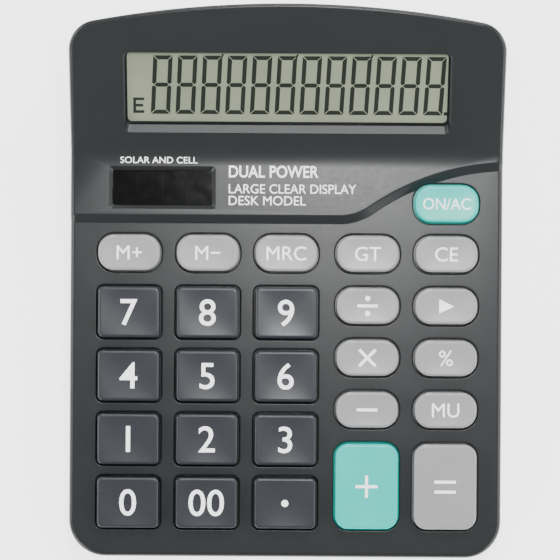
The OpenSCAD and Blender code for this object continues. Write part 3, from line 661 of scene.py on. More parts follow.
class Step:
    """The sloping step between the key deck and the raised strip."""

    def __init__(self, s: Sizes, top_radius: float = 1.0, foot_radius: float = 0.6) -> None:
        """Works out the two bends of the step and its rounded profile."""
        self.s = s
        turn = math.radians(s.curve_turn)
        self.one = (s.curve_start * s.half, s.band_edge + s.curve_out)
        reach = s.curve_out + s.curve_in
        self.two = (self.one[0] + reach * math.sin(turn), self.one[1] - reach * math.cos(turn))
        slant = math.atan2(s.band_rise, s.band_foot)
        self.profile: list[tuple[float, float]] = []
        for r, corner, level, up in (
            (foot_radius, -s.band_foot, 0.0, 1),
            (top_radius, 0.0, s.band_rise, -1),
        ):
            cut = r * math.tan(slant / 2)
            for i in range(5):
                a = slant * i / 4 if up > 0 else slant * (1 - i / 4)
                along = r * math.sin(a)
                rise = r * (1 - math.cos(a))
                if up > 0:
                    self.profile.append((corner - cut + along, level + rise))
                else:
                    self.profile.append((corner + cut - along, level - rise))

    def depth(self, x: float, y: float) -> float:
        """How far a deck point lies behind the top edge of the step; negative in front."""
        s, (x1, y1), (x2, y2) = self.s, self.one, self.two
        if x <= x1:
            return y - s.band_edge
        if y < y1 and math.degrees(math.atan2(x - x1, y1 - y)) < s.curve_turn:
            return s.curve_out - math.hypot(x - x1, y - y1)
        return math.hypot(x - x2, y - y2) - s.curve_in

    def height(self, x: float, y: float) -> float:
        """Height of the surface above the deck."""
        d = self.depth(x, y)
        if d <= self.profile[0][0]:
            return 0.0
        for (d0, z0), (d1, z1) in zip(self.profile, self.profile[1:]):
            if d <= d1:
                return z0 + (z1 - z0) * (d - d0) / (d1 - d0)
        return self.s.band_rise

    def line(self, depth: float, reach: float) -> Plan:
        """Line of equal depth from the left side to the right one.

        Args:
            depth: how far it lies behind the top edge of the step.
            reach: distance of its ends from the middle of the case.

        Returns:
            The points, from left to right.
        """
        s, (x1, y1), (x2, y2) = self.s, self.one, self.two
        out: Plan = [(-reach, s.band_edge + depth)]
        r1, r2 = s.curve_out - depth, s.curve_in + depth
        for i in range(15):
            a = math.radians(s.curve_turn * i / 14)
            out.append((x1 + r1 * math.sin(a), y1 - r1 * math.cos(a)))
        last = math.asin((x2 - reach) / r2)
        first = math.radians(s.curve_turn)
        for i in range(1, 29):
            a = first + (last - first) * i / 28
            out.append((x2 - r2 * math.sin(a), y2 + r2 * math.cos(a)))
        return out


class UpperShell:
    """The upper case: key deck, raised strip and display head in one moulding."""

    def __init__(self, s: Sizes, places: Places, keys: "list[Key]") -> None:
        """Takes the sizes, the frames and the keys that need an opening."""
        self.s = s
        self.places = places
        self.keys = keys
        self.step = Step(s)
        self.cos, self.tan = math.cos(math.radians(s.tilt)), math.tan(math.radians(s.tilt))
        self.window_top: Plan = []

    def outline(self, inset: float, ys: Sequence[Sequence[float]]) -> Plan:
        """Plan of the case.

        Args:
            inset: how far the plan is moved in.
            ys: where extra points go on the right side and on the left side.

        Returns:
            The anticlockwise loop.
        """
        s = self.s
        cy = s.length - s.rear_bow
        reach = s.half - s.rear_corner
        rear_y = s.rear_corner_y
        fan = math.degrees(math.atan2(rear_y - cy, reach))
        side = s.half - inset
        out = arc(s.half - s.front_corner, s.front_corner, s.front_corner - inset, -90, 0, 14)
        out += [(side, y) for y in sorted(ys[0])]
        out += arc(reach, rear_y, s.rear_corner - inset, 0, fan, 14)
        out += arc(0, cy, s.rear_bow - inset, fan, 180 - fan, 30)[1:-1]
        out += arc(-reach, rear_y, s.rear_corner - inset, 180 - fan, 180, 14)
        out += [(-side, y) for y in sorted(ys[1], reverse=True)]
        out += arc(s.front_corner - s.half, s.front_corner, s.front_corner - inset, 180, 270, 14)
        return out

    def spread(self, plan: Plan) -> Plan:
        """Unrolls the display face: beyond the fold, distances are measured along it."""
        c = self.s.crease
        return [(x, y if y <= c else c + (y - c) / self.cos) for x, y in plan]

    def top(self, x: float, v: float) -> Vector:
        """Place of an unrolled point on the upper surface."""
        c = self.s.crease
        if v <= c + 1e-6:
            return Vector((x, v, self.step.height(x, v)))
        return self.places.head_on_deck @ Vector((x, v - c, 0))

    def under(self, x: float, y: float) -> Vector:
        """Place of a deck point on the inner surface."""
        s = self.s
        rise = max(0.0, y - self.knee) * self.tan
        return Vector((x, y, -s.wall + rise))

    @property
    def knee(self) -> float:
        """Where the inner surface starts to rise."""
        s = self.s
        return s.crease + (-s.wall - s.band_rise + s.head_wall / self.cos) / self.tan

    def roll(self, draft: Draft, loop: Plan, radius: float, down: Vector) -> list[Vector]:
        """Rounds an edge over from a border loop.

        Args:
            draft: mesh to add to.
            loop: border of the flat surface, unrolled.
            radius: size of the rounding.
            down: direction of the wall below it.

        Returns:
            The last ring, on the wall.
        """
        corner = [self.top(*p) for p in offset(loop, radius)]
        flat = [self.top(*p) for p in loop]
        rings = []
        for step in range(7):
            a = math.pi / 2 * step / 6
            pull, drop = 1 - math.sin(a), radius * (1 - math.cos(a))
            rings.append([c + (f - c) * pull + down * drop for c, f in zip(corner, flat)])
        is_head = [p[1] > self.s.crease for p in loop]
        draft.loft(rings, 1 if all(is_head) else 0)
        return rings[-1]

    def window_rings(self) -> list[list[Vector]]:
        """Rings of the display window from its bevel down to the inner surface."""
        s = self.s
        w, h, mid = s.window
        low, high = mid - h / 2, mid + h / 2
        on = self.places.head_on_deck
        hole = rounded(0, mid, w, h, 1.6)
        wide: Plan = []
        depth: list[float] = []
        for x, v in hole:
            lower = max(0.0, min(1.0, (low + 1.6 - v) / 1.6))
            share = lower * lower * (3 - 2 * lower)
            wide.append((x * (1 + 0.35 / (w / 2)), v - s.window_bevel if lower > 0.6 else
                         v + (0.35 if v > mid else 0.0) - s.window_bevel * share))
            depth.append(0.35 + (0.75 * s.head_wall - 0.35) * share)
        self.window_top = [(x, s.crease + v) for x, v in wide]
        return [
            [on @ Vector((x, v, 0)) for x, v in wide],
            [on @ Vector((x, v, -d)) for (x, v), d in zip(hole, depth)],
            [on @ Vector((x, v, -s.head_wall)) for x, v in hole],
        ]

    def solar_rings(self) -> list[list[Vector]]:
        """Rings of the solar recess, its opening and the pocket below it."""
        s = self.s
        x, y = s.solar
        w, d = s.solar_width, s.solar_length
        levels = [
            (rounded(x, y, w + 2.2, d + 2.2, 0.9), s.band_rise),
            (rounded(x, y, w + 1.9, d + 1.9, 0.85), s.band_rise - 0.08),
            (rounded(x, y, w, d, 0.7), 0.2),
            (rounded(x, y, w, d, 0.7), -0.8),
            (rounded(x, y, w + 3.3, d + 3.3, 0.9), -0.8),
            (rounded(x, y, w + 3.3, d + 3.3, 0.9), -s.wall),
        ]
        return [[Vector((px, py, z)) for px, py in loop] for loop, z in levels]

    def tube(self, draft: Draft, x: float, y: float, outer: float, low: float) -> None:
        """Adds a screw boss with a blind hole, from a low end up into the wall above it.

        Args:
            draft: mesh to add to.
            x: its middle, sideways.
            y: its middle, along the deck.
            outer: its outer radius.
            low: height of its low end.
        """
        high = self.under(x, y).z + 0.8
        rings = []
        for r, z in ((outer * 0.42, high - 1.6), (outer * 0.42, low), (outer - 0.2, low),
                     (outer, low + 0.2), (outer, high)):
            rings.append([Vector((px, py, z)) for px, py in arc(x, y, r, 0, 345, 23)])
        draft.loft(rings, ends=True)

    def build(self, finishes: Finishes) -> bpy.types.Object:
        """Makes the shell and puts it on the case."""
        s = self.s
        draft = Draft()
        down = Vector((0, 0, -1))
        reach = s.half - s.edge
        lines = [self.step.line(d, reach) for d, _ in self.step.profile]
        right = [line[-1][1] for line in lines] + [s.crease]
        left = [line[0][1] for line in lines] + [s.crease]
        unrolled = self.spread(self.outline(0, (right, left)))
        border = offset(unrolled, -s.edge)
        window = self.window_rings()
        solar = self.solar_rings()
        spots: list[Plan] = []
        for key in self.keys:
            grow = 2 * (s.key_play + s.lip)
            spots.append(rounded(key.x, key.y, key.w + grow, key.d + grow, key.r + grow / 2))
        solar_top = [(p.x, p.y) for p in solar[0]]
        fold = [(-reach, s.crease), (reach, s.crease)]
        loops = draft.sheet(
            border,
            [*spots, self.window_top, solar_top],
            [*lines, fold],
            self.top,
            lambda x, v: 1 if v > s.crease else 0,
        )
        holes: list[Plan] = []
        outer: Plan = []
        for loop in loops:
            if area(loop) > 0:
                ring = self.roll(draft, loop, s.edge, down)
                outer = [(p.x, p.y) for p in ring]
                levels = [ring]
                for inset, z in ((0.0, s.seam + 0.3), (0.25, s.seam)):
                    plan = offset(outer, -inset)
                    levels.append([Vector((x, y, z)) for x, y in plan])
                draft.loft(levels)
                outer = offset(outer, -0.25)
                continue
            x = sum(p[0] for p in loop) / len(loop)
            y = sum(p[1] for p in loop) / len(loop)
            if y > s.crease or math.dist((x, y), s.solar) < 3:
                continue
            ring = self.roll(draft, loop, s.lip, down)
            low = [Vector((p.x, p.y, -s.wall)) for p in ring]
            draft.loft([ring, low])
            holes.append([(p.x, p.y) for p in low])
        draft.loft(window, 1)
        draft.loft(solar)
        inner = self.outline(s.wall, ([self.knee], [self.knee]))
        knee_line = [(-s.half + s.wall, self.knee), (s.half - s.wall, self.knee)]
        pockets = [[(p.x, p.y) for p in rings[-1]] for rings in (window, solar)]
        draft.sheet(inner, [*holes, *pockets], [knee_line], self.under)
        draft.loft([[self.under(*p) for p in inner], [Vector((*p, s.seam)) for p in inner]])
        draft.sheet(outer, [inner], [], lambda x, y: Vector((x, y, s.seam)))
        self.bosses(draft)
        obj = draft.build("UpperShell", self.places.deck, [finishes.case, finishes.head])
        weight_normals(obj)
        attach(obj, "case")
        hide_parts("upper_case")
        return obj

    def bosses(self, draft: Draft) -> None:
        """Adds the screw bosses inside the shell."""
        s = self.s
        front, side = s.wall + s.boss_in, s.half - s.boss_side
        spots = [(-1.5 * s.pitch, front), (1.5 * s.pitch + s.block_gap, front)]
        for y in (s.crease - s.boss_crease, s.rear_corner_y + s.boss_rear):
            spots += [(-side, y), (side, y)]
        for x, y in spots:
            self.tube(draft, x, y, s.boss, s.mating)


# ---------------------------------------------------------------- geometry programs


class Field:
    """A node socket that can be used in sums; every sum becomes a math node."""

    def __init__(self, program: "Program", socket: bpy.types.NodeSocket) -> None:
        """Wraps one socket of a program."""
        self.program = program
        self.socket = socket

    def op(self, kind: str, *others: object) -> "Field":
        """One math node with this value first."""
        node = self.program.tree.nodes.new("ShaderNodeMath")
        node.operation = kind
        self.program.plug(node.inputs[0], self)
        for i, other in enumerate(others):
            self.program.plug(node.inputs[i + 1], other)
        return Field(self.program, node.outputs[0])

    def __add__(self, other: object) -> "Field":
        """Sum."""
        return self.op("ADD", other)

    def __sub__(self, other: object) -> "Field":
        """Difference."""
        return self.op("SUBTRACT", other)

    def __mul__(self, other: object) -> "Field":
        """Product."""
        return self.op("MULTIPLY", other)

    def __truediv__(self, other: object) -> "Field":
        """Quotient."""
        return self.op("DIVIDE", other)


class Program:
    """A geometry node tree with named inputs, made in script and run once for each piece."""

    def __init__(self, name: str) -> None:
        """Starts a tree with a geometry input and output."""
        self.tree = bpy.data.node_groups.new(name, "GeometryNodeTree")
        self.tree.interface.new_socket("Geometry", in_out="INPUT", socket_type="NodeSocketGeometry")
        self.tree.interface.new_socket("Geometry", in_out="OUTPUT", socket_type="NodeSocketGeometry")
        self.keys: dict[str, str] = {}
        self.names: list[str] = []

    def inputs(self, material: bool = True, **values: float) -> dict[str, Field]:
        """Args:
            material: whether the tree takes a material as well.
            values: default value of each input.

        Returns:
            The inputs as fields, by name.
        """
        for name, value in values.items():
            kind = "NodeSocketInt" if isinstance(value, int) else "NodeSocketFloat"
            socket = self.tree.interface.new_socket(name, in_out="INPUT", socket_type=kind)
            socket.default_value = value
            self.keys[name] = socket.identifier
        if material:
            socket = self.tree.interface.new_socket(
                "Material", in_out="INPUT", socket_type="NodeSocketMaterial"
            )
            self.keys["Material"] = socket.identifier
        node = self.tree.nodes.new("NodeGroupInput")
        self.group = node
        return {name: Field(self, node.outputs[name]) for name in values}

    def plug(self, socket: bpy.types.NodeSocket, value: object) -> None:
        """Links a field or a socket, or sets a constant."""
        if isinstance(value, Field):
            self.tree.links.new(value.socket, socket)
        elif isinstance(value, bpy.types.NodeSocket):
            self.tree.links.new(value, socket)
        else:
            socket.default_value = value

    def node(self, kind: str, **inputs: object) -> bpy.types.Node:
        """Adds a node and fills its inputs by name."""
        node = self.tree.nodes.new(kind)
        for name, value in inputs.items():
            self.plug(node.inputs[name.replace("_", " ")], value)
        return node

    def vector(self, x: object, y: object, z: object) -> bpy.types.NodeSocket:
        """A vector from three values."""
        return self.node("ShaderNodeCombineXYZ", X=x, Y=y, Z=z).outputs[0]

    def choose(self, index: Field, values: Sequence[object]) -> Field:
        """The value that stands at an index.

        Args:
            index: which value.
            values: fields or constants.

        Returns:
            The chosen value.
        """
        node = self.tree.nodes.new("GeometryNodeIndexSwitch")
        node.data_type = "FLOAT"
        while len(node.index_switch_items) < len(values):
            node.index_switch_items.new()
        self.plug(node.inputs[0], index)
        for i, value in enumerate(values):
            self.plug(node.inputs[i + 1], value)
        return Field(self, node.outputs[0])

    def close(self, geometry: bpy.types.NodeSocket) -> None:
        """Ends the tree with real geometry and its material."""
        real = self.node("GeometryNodeRealizeInstances", Geometry=geometry)
        paint = self.node("GeometryNodeSetMaterial", Geometry=real.outputs[0],
                          Material=self.group.outputs["Material"])
        out = self.tree.nodes.new("NodeGroupOutput")
        self.tree.links.new(paint.outputs[0], out.inputs[0])

    def run(
        self, name: str, values: dict[str, object], matrix: Matrix,
        material: bpy.types.Material, mesh: bpy.types.Mesh | None = None, sharp: float = 30,
    ) -> bpy.types.Object:
        """Evaluates the tree and returns a plain mesh object.

        Args:
            name: name of the piece.
            values: value of each named input, in metres.
            matrix: frame of the piece, in metres.
            material: finish of the piece.
            mesh: geometry handed in, if the tree uses any.
            sharp: angle above which an edge stays crisp, in degrees.

        Returns:
            The object, with its place in its mesh.
        """
        seed = bpy.data.objects.new(name + "_seed", mesh or bpy.data.meshes.new(name + "_seed"))
        bpy.context.scene.collection.objects.link(seed)
        modifier = seed.modifiers.new("Program", "NODES")
        modifier.node_group = self.tree
        for key, value in {**values, "Material": material}.items():
            modifier[self.keys[key]] = value
        graph = bpy.context.evaluated_depsgraph_get()
        result = bpy.data.meshes.new_from_object(seed.evaluated_get(graph), depsgraph=graph)
        bpy.data.objects.remove(seed)
        bm = bmesh.new()
        bm.from_mesh(result)
        bmesh.ops.remove_doubles(bm, verts=bm.verts, dist=1e-6)
        bmesh.ops.recalc_face_normals(bm, faces=bm.faces)
        bm.transform(matrix)
        bm.to_mesh(result)
        bm.free()
        result.name = name
        return finish_mesh(name, result, [material], sharp)


# ---------------------------------------------------------------- keys


class Kind(Enum):
    """Shapes of key."""

    NUMBER = "number"
    OVAL = "oval"
    TALL = "tall"
    POWER = "power"


@dataclass
class Key:
    """One key: its body, its place on the deck, its size and what is printed on it."""

    name: str
    kind: Kind
    column: int
    row: int
    legend: str
    s: Sizes

    def __post_init__(self) -> None:
        """Works out the place and size from the key grid."""
        s = self.s
        pitch = s.pitch
        top = s.band_edge - s.rear_margin
        oval_pitch = (top - s.front_margin + s.oval_gap) * 0.168
        oval_d = oval_pitch - s.oval_gap
        memory = top - oval_d / 2
        number_pitch = (memory - oval_pitch / 2 - 0.5 - s.front_margin + s.number_gap / 2) / 4
        number_d = number_pitch - s.number_gap
        tall_d = memory - 3 * oval_pitch - oval_d / 2 - s.oval_gap - s.front_margin
        grow = {Kind.TALL: 0.2, Kind.POWER: 0.3}.get(self.kind, 0.0)
        self.w = pitch - s.column_gap + grow
        self.x = (self.column - 2) * pitch + (s.block_gap if self.column > 2 else 0.0)
        self.y, self.d, self.r = {
            Kind.NUMBER: (s.front_margin + number_d / 2 + self.row * number_pitch, number_d, 1.4),
            Kind.TALL: (s.front_margin + tall_d / 2, tall_d, 3.5),
            Kind.POWER: (memory + 0.972 * oval_pitch, oval_d + 0.3, 0.44 * oval_d),
            Kind.OVAL: (memory - self.row * oval_pitch, oval_d, 0.44 * oval_d),
        }[self.kind]
        self.dish = 0.3 if self.kind is Kind.NUMBER else 0.22

    def surface(self, x: float, y: float) -> float:
        """Height of the key top above the deck at a place measured from its middle."""
        a, b = self.w / 2 - self.s.key_rim, self.d / 2 - self.s.key_rim
        hollow = max(0.0, 1 - (x / a) ** 2) * max(0.0, 1 - (y / b) ** 2)
        return self.s.key_rise - self.dish * hollow

    def material(self, finishes: Finishes) -> bpy.types.Material:
        """The plastic the key is moulded in."""
        if self.kind is Kind.NUMBER:
            return finishes.black
        if self.kind is Kind.POWER or self.name == "key_plus":
            return finishes.teal
        return finishes.grey


def key_set(s: Sizes) -> list[Key]:
    """All keys of the keyboard."""
    rows = [["0", "00", "dot"], ["1", "2", "3"], ["4", "5", "6"], ["7", "8", "9"]]
    keys = [
        Key(f"key_{name}", Kind.NUMBER, column, row, name, s)
        for row, names in enumerate(rows)
        for column, name in enumerate(names)
    ]
    keys += [
        Key("key_plus", Kind.TALL, 3, 0, "plus", s),
        Key("key_equals", Kind.TALL, 4, 0, "equals", s),
        Key("key_on_ac", Kind.POWER, 4, 0, "ON/AC", s),
    ]
    right = [("gt", "GT", "ce", "CE"), ("divide", "divide", "backspace", "arrow"),
             ("times", "times", "percent", "%"), ("minus", "minus", "mu", "MU")]
    for row, (left_name, left, right_name, right_word) in enumerate(right):
        keys.append(Key(f"key_{left_name}", Kind.OVAL, 3, row, left, s))
        keys.append(Key(f"key_{right_name}", Kind.OVAL, 4, row, right_word, s))
    for column, (name, word) in enumerate((("m_plus", "M+"), ("m_minus", "M−"), ("mrc", "MRC"))):
        keys.append(Key(f"key_{name}", Kind.OVAL, column, 0, word, s))
    return keys


class KeyCaps:
    """The rule all key caps follow: flange, upright wall, rounded rim and dished top."""

    around = 96
    rim_steps = 5

    def __init__(self, s: Sizes) -> None:
        """Builds the node tree."""
        self.s = s
        p = Program("KeyCap")
        f = p.inputs(Width=0.0168, Depth=0.0138, Corner=0.0014, Rise=0.0025, Root=-0.0031,
                     Rim=0.0007, Dish=0.0003, Flange=0.001, Wall=0.0012)
        zero = f["Rim"] * 0.0
        one = zero + 1.0
        shelf = f["Root"] + 0.8 * MM
        roof = f["Rise"] - f["Wall"]
        foot = f["Rise"] - f["Rim"]
        outward = zero - f["Flange"]
        levels = [(zero, f["Wall"], roof), (one, f["Wall"], roof), (one, f["Wall"], f["Root"]),
                  (one, outward, f["Root"]), (one, outward, shelf), (one, zero, shelf),
                  (one, zero, foot)]
        for i in range(1, self.rim_steps + 1):
            a = math.pi / 2 * i / self.rim_steps
            levels.append((one, f["Rim"] * (1 - math.cos(a)), foot + f["Rim"] * math.sin(a)))
        body = len(levels)
        levels += [(zero + k, f["Rim"], f["Rise"]) for k in (0.97, 0.9, 0.78, 0.62, 0.42, 0.2, 0.0)]
        grid = p.node("GeometryNodeMeshGrid", Size_X=1.0, Size_Y=1.0, Vertices_X=self.around + 1,
                      Vertices_Y=len(levels))
        at = p.node("ShaderNodeSeparateXYZ", Vector=p.node("GeometryNodeInputPosition").outputs[0])
        u, t = (Field(p, at.outputs[i]) + 0.5 for i in (0, 1))
        level = (t * (len(levels) - 1)).op("ROUND")
        share = p.choose(level, [item[0] for item in levels])
        inset = p.choose(level, [item[1] for item in levels])
        height = p.choose(level, [item[2] for item in levels])
        radius = (f["Corner"] - inset).op("MAXIMUM", 0.25 * MM)
        turn = u * 4.0
        quarter = (turn + 1e-4).op("FLOOR")
        part = turn - quarter
        quarter = quarter.op("MODULO", 4.0)
        side = (part * 2.0 - 1.0).op("MAXIMUM", 0.0).op("MINIMUM", 1.0)
        angle = (quarter + (part * 2.0).op("MAXIMUM", 0.0).op("MINIMUM", 1.0)) * (math.pi / 2)
        back, ahead = one - side * 2.0, side * 2.0 - one
        across = p.choose(quarter, [back, zero - 1.0, ahead, one])
        along = p.choose(quarter, [one, back, zero - 1.0, ahead])
        spots = []
        for size, share_of, wave in ((f["Width"], across, angle.op("COSINE")),
                                     (f["Depth"], along, angle.op("SINE"))):
            middle = size * 0.5 - inset - radius
            spots.append(share * (share_of * middle + radius * wave))
        x, y = spots
        hollow = f["Dish"]
        for size, spot in ((f["Width"], x), (f["Depth"], y)):
            part = spot / (size * 0.5 - f["Rim"])
            hollow = hollow * (one - part * part).op("MAXIMUM", 0.0)
        on_top = level.op("GREATER_THAN", body - 0.5)
        z = height - hollow * on_top
        move = p.node("GeometryNodeSetPosition", Geometry=grid.outputs[0], Position=p.vector(x, y, z))
        p.close(move.outputs[0])
        self.program = p

    def build(self, key: Key, deck: Matrix, finishes: Finishes) -> bpy.types.Object:
        """Makes one cap and puts it on its button.

        Args:
            key: which key.
            deck: frame of the key deck, in millimetres.
            finishes: the materials.

        Returns:
            The cap.
        """
        values = {"Width": key.w * MM, "Depth": key.d * MM, "Corner": key.r * MM,
                  "Rise": self.s.key_rise * MM, "Root": self.s.key_root * MM,
                  "Rim": self.s.key_rim * MM, "Dish": key.dish * MM,
                  "Flange": self.s.key_flange * MM, "Wall": self.s.key_wall * MM}
        place = metres(deck) @ Matrix.Translation((key.x * MM, key.y * MM, 0))
        obj = self.program.run(f"Cap_{key.name}", values, place, key.material(finishes), sharp=40)
        weight_normals(obj)
        button = f"button_{key.name.removeprefix('key_')}"
        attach(obj, button)
        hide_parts(key.name)
        return obj


# ---------------------------------------------------------------- printing


class Glyphs:
    """Outlines of words and signs, flat and centred, as small meshes in millimetres."""

    def __init__(self) -> None:
        """Measures the height of a capital letter."""
        bm = self.raw("H")
        self.cap = max(v.co.y for v in bm.verts) - min(v.co.y for v in bm.verts)
        bm.free()

    def raw(self, text: str, bold: float = 0.0) -> bmesh.types.BMesh:
        """Filled text at size one."""
        curve = bpy.data.curves.new("Text", "FONT")
        curve.body = text
        curve.offset = bold
        curve.resolution_u = 5
        obj = bpy.data.objects.new("Text", curve)
        bpy.context.scene.collection.objects.link(obj)
        graph = bpy.context.evaluated_depsgraph_get()
        mesh = bpy.data.meshes.new_from_object(obj.evaluated_get(graph), depsgraph=graph)
        bm = bmesh.new()
        bm.from_mesh(mesh)
        bpy.data.objects.remove(obj)
        bpy.data.curves.remove(curve)
        bpy.data.meshes.remove(mesh)
        return bm

    def words(self, text: str, cap: float, width: float = 0.0, bold: float = 0.0) -> bmesh.types.BMesh:
        """Text, flat and centred.

        Args:
            text: the words.
            cap: height of a capital letter.
            width: width of the whole text, or 0 to keep the letters' own.
            bold: how far the outlines are moved out, at size one.

        Returns:
            The filled text.
        """
        bm = self.raw(text, bold)
        xs = [v.co.x for v in bm.verts]
        scale = cap / self.cap
        stretch = width / (max(xs) - min(xs)) if width else scale
        middle = (max(xs) + min(xs)) / 2
        for v in bm.verts:
            v.co = Vector(((v.co.x - middle) * stretch, (v.co.y - self.cap / 2) * scale, 0))
        return bm

    def shapes(self, polygons: Sequence[Plan]) -> bmesh.types.BMesh:
        """A sign made of closed outlines."""
        bm = bmesh.new()
        for polygon in polygons:
            bm.faces.new([bm.verts.new((x, y, 0)) for x, y in polygon])
        return bm

    def cross(self, size: float, stroke: float, turn: float = 0.0) -> Plan:
        """Outline of a plus sign, turned by an angle in degrees."""
        a, b = size / 2, stroke / 2
        quarter = [(a, -b), (a, b), (b, b)]
        out: Plan = []
        for q in range(4):
            r = math.radians(90 * q + turn)
            out += [(x * math.cos(r) - y * math.sin(r), x * math.sin(r) + y * math.cos(r))
                    for x, y in quarter]
        return out

    def legend(self, word: str, kind: Kind) -> bmesh.types.BMesh:
        """What is printed on a key."""
        def bar(y: float, w: float, t: float) -> Plan:
            """Outline of a level stroke."""
            return [(-w / 2, y - t / 2), (w / 2, y - t / 2), (w / 2, y + t / 2), (-w / 2, y + t / 2)]

        signs: dict[str, list[Plan]] = {
            "plus": [self.cross(6.0, 0.8)],
            "equals": [bar(1.35, 5.8, 0.8), bar(-1.35, 5.8, 0.8)],
            "minus": [bar(0, 5.6, 0.8)],
            "times": [self.cross(6.3, 0.8, 45)],
            "divide": [bar(0, 5.6, 0.8), arc(0, 2.05, 0.72, 0, 345, 23), arc(0, -2.05, 0.72, 0, 345, 23)],
            "arrow": [[(-1.9, -1.95), (2.1, 0), (-1.9, 1.95)]],
            "dot": [arc(0, 0, 0.95, 0, 348, 29)],
        }
        if word in signs:
            return self.shapes(signs[word])
        if kind is Kind.NUMBER:
            return self.words(word, 6.9, bold=0.006)
        if kind is Kind.POWER:
            return self.words(word, 3.0, 12.9)
        return self.words(word, 4.1 if word == "%" else 3.75)


@dataclass(frozen=True)
class Print:
    """Ink laid on a surface: a thin closed skin that follows it."""

    thickness: float = 0.03
    sunk: float = 0.05
    cell: float = 1.3

    def build(
        self, name: str, bm: bmesh.types.BMesh, at: tuple[float, float],
        surface: Callable[[float, float], float], place: Matrix, material: bpy.types.Material,
    ) -> bpy.types.Object:
        """Drapes a flat sign over a surface.

        Args:
            name: name of the piece.
            bm: the sign, flat and centred; it is used up.
            at: where its middle goes in the working frame.
            surface: height of the surface, measured from that middle.
            place: working frame, in millimetres.
            material: the ink.

        Returns:
            The object, with its place in its mesh.
        """
        bmesh.ops.remove_doubles(bm, verts=bm.verts, dist=1e-4)
        bmesh.ops.triangulate(bm, faces=bm.faces)
        for axis in (0, 1):
            values = [v.co[axis] for v in bm.verts]
            steps = int((max(values) - min(values)) / self.cell)
            for i in range(1, steps + 1):
                where, normal = Vector((0, 0, 0)), Vector((0, 0, 0))
                where[axis] = min(values) + i * self.cell
                normal[axis] = 1
                geometry = [*bm.verts, *bm.edges, *bm.faces]
                bmesh.ops.bisect_plane(bm, geom=geometry, plane_co=where, plane_no=normal, dist=1e-4)
        for v in bm.verts:
            v.co.z = surface(v.co.x, v.co.y) + self.thickness
        made = bmesh.ops.extrude_face_region(bm, geom=list(bm.faces), use_keep_orig=True)
        for item in made["geom"]:
            if isinstance(item, bmesh.types.BMVert):
                item.co.z -= self.thickness + self.sunk
        bmesh.ops.recalc_face_normals(bm, faces=bm.faces)
        bm.transform(Matrix.Translation((*at, 0)))
        bm.transform(place)
        bm.transform(Matrix.Scale(MM, 4))
        mesh = bpy.data.meshes.new(name)
        bm.to_mesh(mesh)
        bm.free()
        return finish_mesh(name, mesh, [material], 30)


# ---------------------------------------------------------------- display


